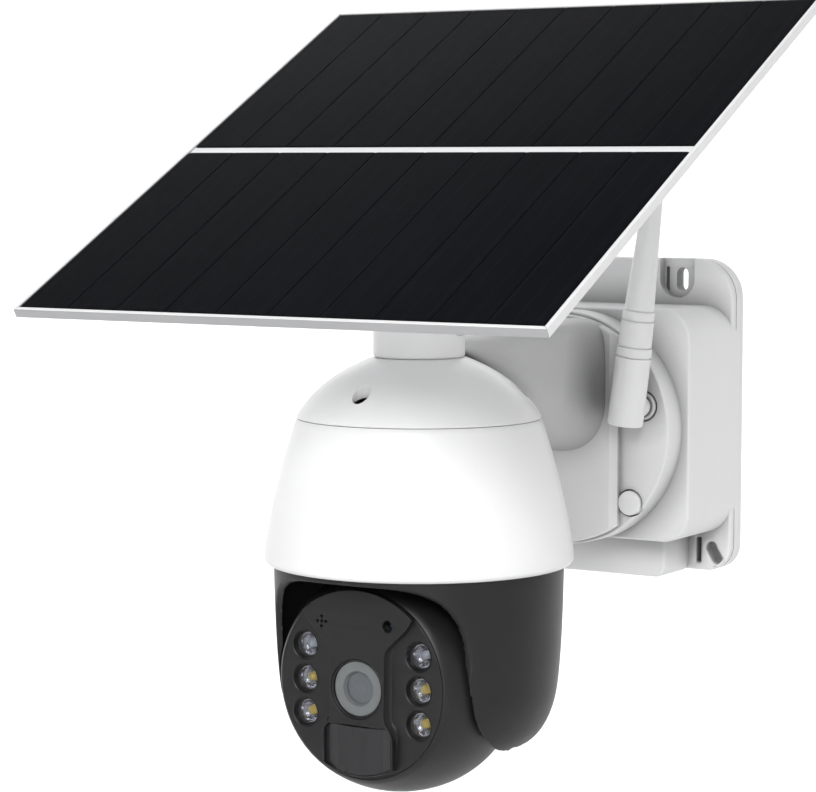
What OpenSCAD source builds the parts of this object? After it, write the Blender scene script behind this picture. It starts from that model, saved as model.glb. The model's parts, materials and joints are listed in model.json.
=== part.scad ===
// Solar-powered pan and tilt security camera on a wall box.
// Frame: origin at the centre of the wall box's back face, on the wall.
// +Z is up, the wall is the plane Y = 0, and the camera faces -Y.

/* [Wall box] */
// Width of the wall box and its back flange
box_w = 110; // [106:1:116]
// Height of the back flange, with its mounting ears
flange_h = 141; // [139:1:146]
// Thickness of the back flange
flange_t = 11.5; // [10:0.5:13]
// Depth of the wall box from the wall to its front face
box_d = 54; // [51:1:58]
// Height of the box's front part
box_h = 102.4; // [100:0.2:104]
// Wall thickness of the box
box_wall = 3; // [2.6:0.2:3.4]
// Distance between the two upper mounting slots
upper_slot_gap = 55.6; // [54:0.2:57]
// Distance between the two lower mounting slots
lower_slot_gap = 94; // [92:0.5:95]
// Width of a mounting slot
slot_w = 5.6; // [4.6:0.2:6]
// Length of a mounting slot, end to end
slot_len = 10.6; // [9:0.2:11.4]

/* [Arm] */
// Distance from the wall to the camera's pan axis
reach = 188; // [184:1:192]
// Radius of the round flange between box and arm
ring_r = 51.7; // [51:0.1:52.5]
// Thickness of the round flange
ring_t = 13.5; // [13:0.5:14]
// Radius of the neck above the dome
neck_r = 18.6; // [18.2:0.1:19]
// Height of the neck's top face
neck_top = 74; // [72:1:75]

/* [Dome] */
// Largest radius of the white shell
shell_r = 62.8; // [62:0.2:63.4]
// Radius of the seam between cap and shell
seam_r = 49.9; // [49.5:0.1:50.2]
// Height of the seam
seam_z = 11; // [10.5:0.5:11.5]
// Height of the shell's lower rim
rim_z = -47.6; // [-48:0.1:-47.4]
// Wall thickness of the dome's shells
dome_wall = 2.4; // [2:0.1:2.6]

/* [Camera head] */
// Height of the tilt axis
tilt_z = -91.5; // [-92:0.1:-91]
// Greatest radius of the ball head
ball_r = 47.8; // [47.4:0.1:48]
// Radius of the head's flat face
face_r = 38.6; // [38:0.1:39]
// Distance from the pan axis to the flat face
face_d = 43.2; // [42.8:0.1:43.6]
// Half width of the head between its flat cheeks
cheek_x = 45; // [44.6:0.1:45.2]

/* [Solar panel] */
// Width of the panel
panel_w = 240; // [236:1:244]
// Length of the panel along its slope
panel_l = 263; // [259:1:267]
// Thickness of the panel's frame
panel_t = 4; // [3.6:0.2:5.6]
// Slope of the panel at rest, in degrees
panel_tilt = 28.5; // [26:0.5:31]
// Number of cell strips in each half of the panel
strips = 10; // [8:1:12]

/* [Drives] */
// Teeth on the pan gear
pan_teeth = 72; // [72:12:72]
// Teeth on the tilt gear
tilt_teeth = 36; // [36:12:36]
// Teeth on each motor pinion
pinion_teeth = 12; // [12:1:12]

/* [Hidden] */
$fn = 64;

e = 0.01;                 // overlap that keeps unions and cuts clean
box_z = -1.4;             // centre height of the box's front part
box_top = box_z + box_h / 2;
box_bottom = box_z - box_h / 2;
lid_t = 2.5;              // back cover's thickness
lid_in = 0;               // the cover sits flush with the wall
seal_t = 0.6;
lip = 2;                  // width of the ledge that carries the seal
block_w = 69;             // port block below the box
block_y = -36;
block_z = -71.6;

ring_z = -3;              // centre height of the round flange
ring_y = -box_d - ring_t; // its front face
bolt_x = 33.4;            // the flange's four screws
bolt_z = 31.4;
cap_r = 5.3;
bar_w = 53;               // raised bar at the arm's foot
bar_t = 5.5;

axis_y = -reach;
antenna_at = [39.4, ring_y - 15, 8.4];
antenna_lean = 7.4;

tilt_y = axis_y - 8;      // the tilt axis is a little ahead of the pan axis
face_y = axis_y - face_d;
face_z = tilt_z;
ball_y = axis_y - 10;     // where the ball is widest
yoke_top = -38;
yoke_wall = 2.4;
arch_half = 46.5;
arch_front = 44.5;          // the opening is a little narrower at its front edge
arch_top = -49.5;
shaft_r = 4;

plate_r = 37.6;           // round face plate
seat_r = 36;              // the opening behind the face plate
led_r = 6;
lens_r = 12;
island_up = 3.4;          // the island stands this far in front of the lamps' plane
split = 3;                // the ball's two halves meet behind the tilt axis
led_x = 26.6;
led_pitch = 13.6;
led_zs = [face_z + led_pitch, face_z, face_z - led_pitch];
lens_z = face_z - 1.2;

hub_r = 10;               // the yoke's hub, in the pan bearing
plate_z = -19;            // top of the chassis plate inside the dome
board_z = -1;
pan_gear_z = yoke_top;
gear_t = 4;
module_mm = 1;
pan_gear_r = pan_teeth * module_mm / 2;
pinion_r = pinion_teeth * module_mm / 2;
pan_motor_d = pan_gear_r + pinion_r;
tilt_gear_r = tilt_teeth * module_mm / 2;
tilt_gear_x = 24;         // inner face of the tilt gear

hinge_z = 90;             // the panel's tilt hinge, above the neck
hinge_r = 3;
spigot_r = 8;             // the swivel's spigot in the neck's top
panel_up = 22.5;          // from the hinge to the panel's top face
panel_back_off = 20;      // the panel's middle, behind the hinge along its slope
frame_lip = 1.6;          // width of the frame's top edge
border = 2;               // from the frame's outside to the cells
sheet_low = -2.6;         // underside of the panel's back sheet, below its top face
cell_t = 0.5;
cell_gap = 0.35;
divider = 5;              // bare strip between the two rows of cells

function arc(r, a0, a1, n, c = [0, 0]) =
    [for (i = [0:n]) let (a = a0 + (a1 - a0) * i / n) c + r * [cos(a), sin(a)]];
// A smooth quadratic curve from a over control b to c, in n steps
function bend(a, b, c, n) =
    [for (i = [0:n]) let (t = i / n) a * (1 - t) * (1 - t) + b * 2 * t * (1 - t) + c * t * t];
function flip(list) = [for (i = [len(list) - 1:-1:0]) list[i]];

// Outer outline of the dome, from the neck down to the rim, as (radius, height)
cap_line = bend([neck_r + 0.6, 35.6], [40.5, 27.5], [seam_r, seam_z], 12);
shell_line = concat(
    bend([seam_r, seam_z], [59.2, -18], [shell_r, rim_z + 4.4], 14),
    bend([shell_r, rim_z + 4.3], [shell_r - 0.2, rim_z], [shell_r - 3, rim_z], 4));
yoke_line = concat(
    [[58.6, yoke_top], [58.9, rim_z - 2]],
    bend([58.9, rim_z - 2], [58.4, -82], [56.4, -98], 6),
    bend([56.2, -98.5], [53.2, -119], [38, -124], 8));

// ---------- helpers ----------
module rrect(w, h, r) {
    square([w - 2 * r, h], center = true);
    square([w, h - 2 * r], center = true);
    for (x = [-1, 1], y = [-1, 1]) translate([x * (w / 2 - r), y * (h / 2 - r)]) circle(r);
}
// Extrudes an outline drawn as (x, z) from y0 back to y1, y0 nearer the camera
module deep(y0, y1) {
    translate([0, y1, 0]) rotate([90, 0, 0]) linear_extrude(y1 - y0) children();
}
module rod_y(r, y0, y1) {
    translate([0, y1, 0]) rotate([90, 0, 0]) cylinder(r = r, h = y1 - y0);
}
module rod_x(r, x0, x1) {
    translate([x0, 0, 0]) rotate([0, 90, 0]) cylinder(r = r, h = x1 - x0);
}
module at_axis() { translate([0, axis_y, 0]) children(); }
module at_tilt() { translate([0, tilt_y, tilt_z]) children(); }
module slot2(w, len) {
    square([w, len - w], center = true);
    for (s = [-1, 1]) translate([0, s * (len - w) / 2]) circle(w / 2);
}
// Gear with slim trapezoid teeth, which leave backlash on both flanks
function tooth(r, a) = [for (p = [[-1.15, -0.66], [0.75, -0.3], [0.75, 0.3], [-1.15, 0.66]])
    let (x = r + p[0], y = p[1]) [x * cos(a) - y * sin(a), x * sin(a) + y * cos(a)]];
module gear(teeth, thick, bore) {
    r = teeth * module_mm / 2;
    difference() {
        linear_extrude(thick) polygon([for (i = [0:teeth - 1]) each tooth(r, i * 360 / teeth)]);
        translate([0, 0, -1]) cylinder(r = bore, h = thick + 2);
    }
}
module screw_up(head_r, head_h, shank_r, shank) {
    difference() {
        union() {
            cylinder(r = head_r, h = head_h);
            translate([0, 0, -shank]) cylinder(r = shank_r, h = shank + e);
        }
        for (a = [0, 90]) rotate(a) translate([-head_r * 0.6, -0.4, head_h - 0.8])
            cube([head_r * 1.2, 0.8, 1]);
    }
}

// ---------- wall box ----------
module upper_slots() {
    for (s = [-1, 1]) translate([s * upper_slot_gap / 2, 61]) children();
}
module lower_slots() {
    for (s = [-1, 1]) translate([s * lower_slot_gap / 2, -62.2]) rotate(s * 30) children();
}
module flange_outline() {
    top_r = 18;
    low_r = 12;
    translate([0, (low_r - top_r) / 2]) square([box_w, flange_h - top_r - low_r], center = true);
    square([box_w - 2 * top_r, flange_h], center = true);
    translate([0, -flange_h / 4]) square([box_w - 2 * low_r, flange_h / 2], center = true);
    for (s = [-1, 1]) {
        translate([s * (box_w / 2 - top_r), flange_h / 2 - top_r]) circle(top_r);
        translate([s * (box_w / 2 - low_r), low_r - flange_h / 2]) circle(low_r);
    }
}
module cover_holes() {
    for (x = [-1, 1], z = [-1, 1]) translate([x * (box_w / 2 - 8.5), 0, box_z + z * (box_h / 2 - 8.5)])
        children();
}
module box_housing() {
    inner_w = box_w - 2 * box_wall;
    inner_h = box_h - 2 * box_wall;
    ledge = -(lid_in + lid_t + seal_t);
    color("whitesmoke") difference() {
        union() {
            deep(-flange_t, 0) flange_outline();
            deep(-box_d, -flange_t + e) translate([0, box_z]) rrect(box_w, box_h, 13);
        }
        difference() {
            deep(-box_d + box_wall, ledge + e) translate([0, box_z])
                rrect(inner_w - 2 * lip, inner_h - 2 * lip, 10);
            cover_holes() rod_y(4, -box_d, ledge);
        }
        cover_holes() rod_y(1.2, ledge - 10, ledge + 1);
        deep(ledge, 1) translate([0, box_z]) rrect(inner_w, inner_h, 11);
        // mounting ears: slots for the wall screws, a pocket in front of each upper one,
        // and a thin slot beside each for a cable tie
        deep(-flange_t - 1, 1) upper_slots() slot2(slot_w, slot_len);
        for (s = [-1, 1]) {
            deep(-flange_t - 1, -5) translate([s * 27.3, 75.6]) slot2(17.4, 46);
            deep(-flange_t - 1, 1) translate([s * 20.4, 61]) rrect(1.7, 11.4, 0.7);
            deep(-flange_t - 1, 1) translate([s * 39.2, -61.2]) rrect(2.1, 11.4, 0.7);
        }
        deep(-flange_t - 1, 1) lower_slots() slot2(slot_w, slot_len);
        // wire passage into the arm, antenna lead hole and arm screw holes
        translate([0, 0, ring_z]) rod_y(14, -box_d - 1, -box_d + box_wall + 1);
        translate([antenna_at[0], 0, antenna_at[2]]) rod_y(3.3, -box_d - 1, -box_d + box_wall + 1);
        arm_bolts() rod_y(2, -box_d - 1, -box_d + box_wall + 1);
        // opening above the port block
        translate([-14, -30, box_bottom - 1]) cube([28, 14, box_wall + lip + 2]);
    }
}
module back_cover() {
    color("gainsboro") difference() {
        deep(-lid_in - lid_t, -lid_in) translate([0, box_z])
            rrect(box_w - 2 * box_wall - 0.5, box_h - 2 * box_wall - 0.5, 10.75);
        cover_holes() rod_y(1.7, -lid_in - lid_t - 1, 0);
        cover_holes() rod_y(3.2, -lid_in - 1.5, 0);
    }
}
module back_seal() {
    color("dimgray") difference() {
        deep(-lid_in - lid_t - seal_t, -lid_in - lid_t) translate([0, box_z]) difference() {
            rrect(box_w - 2 * box_wall - 0.8, box_h - 2 * box_wall - 0.8, 10.6);
            rrect(box_w - 2 * box_wall - 2 * lip, box_h - 2 * box_wall - 2 * lip, 10);
        }
        cover_holes() rod_y(1.9, -20, 0);
    }
}
module cover_screws() {
    color("silver") cover_holes() translate([0, -lid_in - 1.5, 0])
        rotate([-90, 0, 0]) screw_up(3, 1.5, 1.2, 9);
}
module cell_rows() {
    for (i = [-1.5:1:1.5]) translate([i * 19.6, -15.2, -37]) children();
}
module battery_cells() {
    color("seagreen") cell_rows() {
        cylinder(r = 9.2, h = 64.4);
        cylinder(r = 3, h = 65.2);
    }
}
module battery_tray() {
    color("dimgray") difference() {
        translate([-42, -27, -40.5]) cube([84, 16.5, 72]);
        cell_rows() translate([0, 0, -0.01]) cylinder(r = 9.35, h = 65.4);
        cell_rows() translate([-9.35, 0, -0.01]) cube([18.7, 20, 65.4]);
    }
}
module charge_board() {
    z0 = -38;
    color("darkgreen") translate([-34, -43, z0]) cube([24, 1.6, 56]);
    color("black") for (i = [0:2]) translate([-30, -44.6, z0 + 6 + i * 16]) cube([10, 1.61, 8]);
    color("gray") translate([-32, -41.41, z0 + 44]) cube([8, 14.41, 6]);
}
module port_block() {
    h = box_bottom - block_z;
    color("whitesmoke") difference() {
        deep(block_y, -flange_t) translate([0, block_z + h / 2]) union() {
            rrect(block_w, h, 5);
            translate([0, h / 4]) square([block_w, h / 2], center = true);
        }
        deep(block_y + 2.5, -flange_t - 2.5) translate([0, block_z + h / 2 + 0.3])
            square([block_w - 6, h - 5], center = true);
        translate([-14, -30, box_bottom - 6]) cube([28, 14, 8]);
        translate([-9, -24, block_z - 1]) cylinder(r = 4.1, h = 5);
        translate([6, -29, block_z - 1]) cube([12, 10, 5]);
    }
}
module charge_port() {
    color("silver") difference() {
        translate([7.5, -28, block_z + 1.7]) cube([9, 8, 7]);
        translate([8.2, -26.2, block_z]) cube([7.6, 4.4, 7]);
    }
}
module port_plug() {
    color("dimgray") {
        translate([4.6, -30.4, block_z - 0.6]) cube([14.8, 12.8, 0.6]);
        translate([6.3, -28.7, block_z - e]) cube([11.4, 9.4, 1.4]);
    }
}
module power_button() {
    color("dimgray") translate([-9, -24, 0]) {
        translate([0, 0, block_z - 0.9]) cylinder(r = 4.04, h = 4.9);
        translate([0, 0, block_z + 3.3]) cylinder(r = 5.2, h = 1.4);
    }
}

// ---------- arm ----------
module arm_bolts() {
    for (x = [-1, 1], z = [-1, 1]) translate([x * bolt_x, 0, ring_z + z * bolt_z]) children();
}
module mount_ring() {
    color("whitesmoke") difference() {
        translate([0, 0, ring_z]) rod_y(ring_r, ring_y, -box_d);
        translate([0, 0, ring_z]) rod_y(14, ring_y - 1, 0);
        translate([antenna_at[0], 0, antenna_at[2]]) rod_y(3.3, ring_y - 1, 0);
        arm_bolts() rod_y(2.2, ring_y - 1, 0);
        arm_bolts() rod_y(cap_r + 0.1, ring_y - 1, ring_y + 5);
    }
}
// The horn's cross-section at its foot, or shrunk by inset for the hollow
module horn_foot(y, inset) {
    deep(y - 0.1, y) translate([0, 15.5]) offset(r = 17 - inset, $fn = 32)
        square([10, 27], center = true);
}
module horn(inset) {
    hull() {
        horn_foot(ring_y - bar_t + e, inset);
        horn_foot(ring_y - bar_t - 6, inset);
        deep(-110, -109) translate([0, 23.5]) circle(20.5 - inset, $fn = 32);
    }
    hull() {
        deep(-110, -109) translate([0, 23.5]) circle(20.5 - inset, $fn = 32);
        deep(-140, -139) translate([0, 30.5]) scale([1.1, 0.8]) circle(14.5 - inset, $fn = 32);
    }
    hull() {
        deep(-140, -139) translate([0, 30.5]) scale([1.1, 0.8]) circle(14.5 - inset, $fn = 32);
        deep(axis_y + neck_r - 3, axis_y + neck_r - 2) translate([0, 42])
            scale([1.25, 0.62]) circle(11 - inset, $fn = 32);
    }
}
module cap_solid() {
    at_axis() rotate_extrude($fn = 96) polygon(concat([[0.01, 35.6]], cap_line, [[0.01, seam_z]]));
}
module arm() {
    color("gainsboro") {
        intersection() {
            translate([0, 0, ring_z]) rod_y(ring_r - 1.2, ring_y - bar_t, ring_y);
            difference() {
                deep(ring_y - bar_t - 1, ring_y + 1) square([bar_w, 200], center = true);
                translate([0, 0, ring_z]) rod_y(10, ring_y - 20, ring_y + 2);
            }
        }
        difference() {
            horn(0);
            horn(3);
            cap_solid();
            at_axis() cylinder(r = neck_r + 0.02, h = 100);
            wire_route(3.4);
            translate([0, 0, ring_z]) rod_y(10, ring_y - bar_t - 4, -60);
        }
    }
}
module flange_screws() {
    color("silver") arm_bolts() translate([0, ring_y + 5, 0]) rotate([90, 0, 0])
        screw_up(4, 2.5, 2, 13);
}
module screw_caps() {
    color("white") arm_bolts() rod_y(cap_r, ring_y - 1.6, ring_y + 2.4);
}
module antenna_socket() {
    color("gainsboro") translate([antenna_at[0], 0, antenna_at[2]]) {
        rod_y(6.3, ring_y - 1, ring_y);
        rod_y(3.2, ring_y - 1, -box_d + box_wall + 1);
    }
}
module antenna() {
    color("white") translate(antenna_at) {
        rotate([0, antenna_lean, 0]) rotate_extrude() polygon(concat(
            [[0, -8.4], [6.9, -8.4], [7.7, -7.6], [7.7, 22.6], [6.9, 23.2], [6.9, 24.2], [7.5, 24.8],
             [7.5, 26], [6.8, 26.6], [6.8, 37.6], [6.2, 38.2], [6.2, 39], [6.7, 39.6], [6.7, 41],
             [6.3, 41.6], [4.3, 88]],
            arc(4, 0, 90, 8, [0, 95])));
        rod_y(4.6, -1, 13.9);
    }
}
// A straight run of wire between two (y, z) points in the middle plane
module wire_run(a, b, r) {
    d = b - a;
    translate([0, a[0], a[1]]) {
        sphere(r * 1.08);
        rotate([-atan2(d[0], d[1]), 0, 0]) cylinder(r = r, h = norm(d));
    }
}
wire_path = [[-46, ring_z], [-82, ring_z + 3], [-100, 20], [axis_y + 18, 41.5], [axis_y, 42], [axis_y, 6]];
module wire_route(r) {
    for (i = [0:len(wire_path) - 2]) wire_run(wire_path[i], wire_path[i + 1], r);
}
module wire_harness() {
    color("black") wire_route(2.6);
}

// ---------- neck and dome ----------
module neck_column() {
    color("white") difference() {
        at_axis() rotate_extrude() polygon(concat(
            [[15, 35.6], [neck_r - 1.5, 35.6]], arc(1.5, -90, 0, 6, [neck_r - 1.5, 37.1]),
            arc(2, 0, 90, 6, [neck_r - 2, neck_top - 2]),
            [[spigot_r + 0.05, neck_top], [spigot_r + 0.05, neck_top - 4], [15, neck_top - 4]]));
        translate([0, 0, 42]) rod_y(3.6, axis_y, axis_y + 22);
        translate([0, axis_y, 48]) rod_x(1.5, 14, 20);
        translate([0, axis_y, 48]) rod_x(3.3, neck_r - 0.4, 20);
    }
}
module neck_screw() {
    color("silver") translate([0, axis_y, 48]) {
        rod_x(1.5, 13, neck_r);
        difference() {
            rod_x(3.2, neck_r - 0.4, neck_r + 2);
            translate([neck_r + 1.2, -0.4, -2.2]) cube([1, 0.8, 4.4]);
        }
    }
}
// The three cap screws, by bearing from the front
module cap_bolts() {
    for (a = [-2, 118, 238]) translate([40 * sin(a), axis_y - 40 * cos(a), 0]) children();
}
module chassis_posts(r) {
    for (a = [28, 148, 268]) translate([r * sin(a), axis_y - r * cos(a), 0]) children();
}
module top_cap() {
    inner = [for (p = cap_line) [p[0] - 1.8, max(p[1] - 2.2, seam_z)]];
    color("white") difference() {
        union() {
            at_axis() rotate_extrude($fn = 96) polygon(concat([[15, 35.6]], cap_line, flip(inner), [[15, 33.4]]));
            intersection() {
                cap_bolts() translate([0, 0, seam_z + seal_t]) cylinder(r = 5.6, h = 20);
                cap_solid();
            }
        }
        cap_bolts() translate([0, 0, 14.5]) cylinder(r = 3.8, h = 20);
        cap_bolts() cylinder(r = 1.7, h = 20);
    }
}
module cap_screws() {
    color("silver") cap_bolts() translate([0, 0, 14.5]) screw_up(3.2, 2.2, 1.4, 9);
}
module seam_seal() {
    color("dimgray") difference() {
        at_axis() rotate_extrude($fn = 96) translate([36, seam_z]) square([9.6, seal_t]);
        cap_bolts() cylinder(r = 1.7, h = 20);
    }
}
module shell() {
    // the wall thins at the rim, to clear the yoke that turns inside it
    inner = [for (p = shell_line) [p[1] < -36 ? 59.8 : p[0] - dome_wall, p[1]]];
    color("white") difference() {
        union() {
            at_axis() rotate_extrude($fn = 96)
                polygon(concat([[36, seam_z]], shell_line, flip([for (p = inner) if (p[1] < seam_z - 3) p]),
                    [[seam_r - dome_wall, seam_z - 2.8], [36, seam_z - 2.8]]));
            chassis_posts(44) translate([0, 0, plate_z]) cylinder(r = 3.2, h = seam_z - 2.8 - plate_z + e);
        }
        cap_bolts() translate([0, 0, 4]) cylinder(r = 1.4, h = 20);
        chassis_posts(44) translate([0, 0, plate_z - 1]) cylinder(r = 1.2, h = 12);
    }
}
module chassis_plate() {
    color("lightgray") {
        difference() {
            at_axis() rotate_extrude() polygon([[16, plate_z - 5], [19, plate_z - 5], [19, plate_z - 3],
                [55.6, plate_z - 3], [55.6, plate_z], [19, plate_z], [19, plate_z + 2], [16, plate_z + 2]]);
            chassis_posts(44) translate([0, 0, plate_z - 5]) cylinder(r = 1.7, h = 8);
            at_motor() translate([0, 0, plate_z - 4]) cylinder(r = 4, h = 8);
        }
        chassis_posts(31) translate([0, 0, plate_z - e]) cylinder(r = 2.5, h = board_z - plate_z);
    }
}
module pan_bearing() {
    color("silver") at_axis() rotate_extrude() polygon(
        [[hub_r + 0.05, plate_z - 5], [15.99, plate_z - 5], [15.99, plate_z + 2], [hub_r + 0.05, plate_z + 2]]);
}
module at_motor() { translate([0, axis_y + pan_gear_r + pinion_r, 0]) children(); }
module pan_motor() {
    color("silver") at_motor() {
        translate([0, 0, plate_z]) cylinder(r = 10.5, h = 13);
        translate([0, 0, plate_z - 14]) cylinder(r = 1.5, h = 14.1);
        translate([-17, -3.5, plate_z]) cube([34, 7, 1]);
    }
}
module pan_pinion() {
    color("ivory") at_motor() translate([0, 0, pan_gear_z + 0.4]) rotate(15) gear(pinion_teeth, gear_t, 1.55);
}
module pan_gear() {
    color("ivory") at_axis() translate([0, 0, pan_gear_z]) gear(pan_teeth, gear_t, hub_r + 2.05);
}
module hub_nut() {
    color("silver") at_axis() translate([0, 0, plate_z + 2.4]) difference() {
        cylinder(r = 13.5, h = 3.4, $fn = 6);
        translate([0, 0, -1]) cylinder(r = hub_r, h = 6);
    }
}
module main_board() {
    color("darkgreen") at_axis() translate([0, 0, board_z]) cylinder(r = 35, h = 1.6);
    color("black") at_axis() translate([0, 0, board_z + 1.6 - e]) {
        translate([-5, -4, 0]) cube([10, 8, 6 - board_z - 1.6]);
        translate([-26, -10, 0]) cube([15, 15, 1.6]);
        translate([12, -12, 0]) cube([16, 20, 2.4]);
        translate([-8, -26, 0]) cube([12, 9, 1.4]);
        translate([-10, 14, 0]) cube([20, 10, 2]);
    }
}

// ---------- pan yoke ----------
// Front view of the opening between the yoke's arms
module arch_outline(half) {
    round_r = 30;
    polygon(concat([[-half, -130]],
        arc(round_r, 180, 90, 12, [round_r - half, arch_top - round_r]),
        arc(round_r, 90, 0, 12, [half - round_r, arch_top - round_r]),
        [[half, -130]]));
}
// Side view of what is cut away below the ball, so that the bowl's rim slopes up to the front
module rim_cut() {
    translate([-arch_half, axis_y, 0]) rotate([90, 0, 90]) linear_extrude(2 * arch_half)
        polygon(concat([[-5, -140], [-5, -88]], bend([-4, -88], [4, -112], [34, -126], 8), [[34, -140]]));
}
// Side view of what is cut away in front of the arms, which leaves their flat front edges
module lip_cut() {
    translate([-62, axis_y, 0]) rotate([90, 0, 90]) linear_extrude(124)
        polygon(concat([[-80, -140], [-80, -49.4]], bend([-58, -49.8], [-36, -50.5], [-35.2, -70], 8),
            bend([-35.2, -88], [-35.2, -107], [-14, -118.5], 8), [[-4, -122], [-4, -140]]));
}
module pan_yoke() {
    inner = [for (p = yoke_line) if (p[1] < yoke_top - 3) [p[0] - yoke_wall, p[1] + 0.4]];
    color("#2b2b2d") difference() {
        at_axis() {
            rotate_extrude($fn = 96) polygon(concat([[6, yoke_top]], yoke_line, flip(inner),
                [[58.6 - yoke_wall, yoke_top - 3], [6, yoke_top - 3]]));
            rotate_extrude() polygon([[6, yoke_top - 3], [hub_r + 2, yoke_top - 3], [hub_r + 2, plate_z - 5.4],
                [hub_r, plate_z - 5.4], [hub_r, plate_z + 6], [6, plate_z + 6]]);
        }
        deep(axis_y - 80, axis_y - 31.4) arch_outline(arch_front);
        deep(axis_y - 31.4 - e, axis_y - 4) arch_outline(arch_half);
        rim_cut();
        lip_cut();
        for (i = [-3:3]) translate([i * 3.6 - 0.8, axis_y + 50, -78]) cube([1.6, 12, 15]);
        at_tilt() rod_x(2.2, -70, 70);
    }
}
module arm_covers() {
    inner = [for (p = yoke_line) if (p[1] < yoke_top - 3) [p[0] - yoke_wall - 0.02, p[1] + 0.4]];
    color("#353537") difference() {
        intersection() {
            for (s = [-1, 1]) translate([s * 47.2 - 1, axis_y - 45, -125]) cube([2, 90, 84 - 0.02]);
            at_axis() rotate_extrude($fn = 96) polygon(concat([[0.01, yoke_top - 3]], inner, [[0.01, -123]]));
        }
        at_tilt() rod_x(shaft_r, -70, 70);
        lip_cut();
    }
}
module speaker() {
    color("dimgray") translate([0, 0, -70.5]) difference() {
        union() {
            rod_y(14, axis_y + 48, axis_y + 53);
            rod_y(9, axis_y + 43, axis_y + 48 + e);
        }
        rod_y(11, axis_y + 51.5, axis_y + 60);
    }
}
module tilt_shafts() {
    color("silver") at_tilt() {
        rod_x(shaft_r, tilt_gear_x - 1, 48.2);
        rod_x(7, 48.2, 50.4);
        rod_x(shaft_r, -48.2, -38);
        rod_x(7, -50.4, -48.2);
    }
}
module tilt_gear() {
    color("ivory") at_tilt() translate([tilt_gear_x, 0, 0]) rotate([0, 90, 0]) gear(tilt_teeth, gear_t, shaft_r);
}
module at_tilt_motor() { at_tilt() translate([0, tilt_gear_r + pinion_r, 0]) children(); }
module tilt_motor() {
    color("silver") at_tilt_motor() {
        rod_x(10, tilt_gear_x - 22, tilt_gear_x - 3);
        rod_x(1.5, tilt_gear_x - 3 - e, tilt_gear_x + 5);
    }
}
module tilt_pinion() {
    color("ivory") at_tilt_motor() translate([tilt_gear_x, 0, 0]) rotate([0, 90, 0])
        rotate(15) gear(pinion_teeth, gear_t, 1.55);
}

// ---------- camera head ----------
// The ball's outline along its own axis, from the face back, shrunk by inset
function ball_radius(y, front, back) = ball_r * sqrt(max(0, 1 - pow(y / (y < 0 ? front : back), 2)));
ball_front = (face_d - 10) / sqrt(1 - pow(face_r / ball_r, 2));
ball_back = 46;
module ball(inset) {
    y0 = -(face_d - 10);
    ys = [for (i = [0:9]) y0 * (1 - i / 9)];
    translate([0, ball_y, tilt_z]) rotate([-90, 0, 0]) rotate_extrude($fn = 96) polygon(concat(
        [[0, y0 + inset]],
        [for (y = ys) if (y >= y0 + inset) [ball_radius(y, ball_front, ball_back) - inset, y]],
        [for (i = [1:14]) let (a = i * 90 / 14) [(ball_r - inset) * cos(a), (ball_back - inset) * sin(a)]]));
}
module ball_body(inset) {
    intersection() {
        ball(inset);
        translate([-cheek_x + inset, axis_y - 80, tilt_z - 80]) cube([2 * (cheek_x - inset), 160, 160]);
    }
}
module ball_shell() {
    difference() {
        ball_body(0);
        ball_body(2.4);
        at_tilt() rod_x(shaft_r + 0.05, -60, 60);
    }
}
module head_front() {
    color("#2e2e30") difference() {
        union() {
            intersection() {
                ball_shell();
                translate([-80, axis_y - 80, tilt_z - 80]) cube([160, 80 + split, 160]);
            }
            intersection() {
                ball_body(0);
                translate([0, 0, face_z]) rod_y(60, face_y, face_y + 5);
            }
        }
        translate([0, 0, face_z]) rod_y(plate_r + 0.1, face_y - 1, face_y + 2.4);
        translate([0, 0, face_z]) rod_y(seat_r, face_y - 1, face_y + 6);
    }
}
module head_back() {
    color("#2e2e30") {
        intersection() {
            ball_shell();
            translate([-80, axis_y + split, tilt_z - 80]) cube([160, 80, 160]);
        }
        difference() {
            intersection() {
                ball_body(2.2);
                translate([tilt_gear_x - 3, axis_y + 7, tilt_z - 9]) cube([2, 60, 18]);
            }
            at_tilt_motor() rod_x(3, 0, 60);
        }
    }
}
module head_seal() {
    color("dimgray") translate([0, 0, face_z]) difference() {
        rod_y(plate_r, face_y + 1.8, face_y + 2.4);
        rod_y(seat_r, face_y, face_y + 6);
    }
}
module on_face(x, z) { translate([x, face_y, z]) children(); }
module led_sites(zs) { for (x = [-led_x, led_x], z = zs) on_face(x, z) children(); }
// Middle island of the face, which carries the lens, mic and light sensor
module island_outline() {
    intersection() {
        translate([0, face_z]) circle(plate_r - 0.8);
        translate([0, face_z]) polygon([
            [-30, 40], [-23, 24], [-13, 15], [-12.6, -14], [-16.6, -18], [-16.6, -40],
            [16.6, -40], [16.6, -18], [12.6, -14], [13, 15], [23, 24], [30, 40]]);
    }
}
module face_plate() {
    color("#1b1b1d") difference() {
        union() {
            translate([0, 0, face_z]) rod_y(plate_r, face_y, face_y + 1.8);
            deep(face_y - island_up, face_y + e) island_outline();
            for (x = [-1, 1], z = [-1, 1]) on_face(x * 11, lens_z + z * 11.5) rod_y(1.8, 1.7, 20);
        }
        led_sites(led_zs) rod_y(led_r, -5, 5);
        on_face(0, lens_z) rod_y(lens_r, -5, 5);
        on_face(-16.5, face_z + 24.5) for (p = [[0, 0], [2, 0], [-2, 0], [0, 2], [0, -2]])
            translate([p[0], 0, p[1]]) rod_y(0.55, -5, 5);
        on_face(14.4, face_z + 25) rod_y(2.2, -5, 5);
        deep(face_y - 5, face_y + 5) pir_outline(0.1);
    }
}
module lens_ring() {
    color("#2a2a2c") on_face(0, lens_z) difference() {
        rod_y(lens_r, 0.1 - island_up, 8);
        rod_y(10, -6, 9);
        rod_y(11.1, -6, 2.1 - island_up);
    }
}
module lens_glass() {
    color("slategray") on_face(0, lens_z) rod_y(11.1, 0.9 - island_up, 2.1 - island_up);
}
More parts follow.
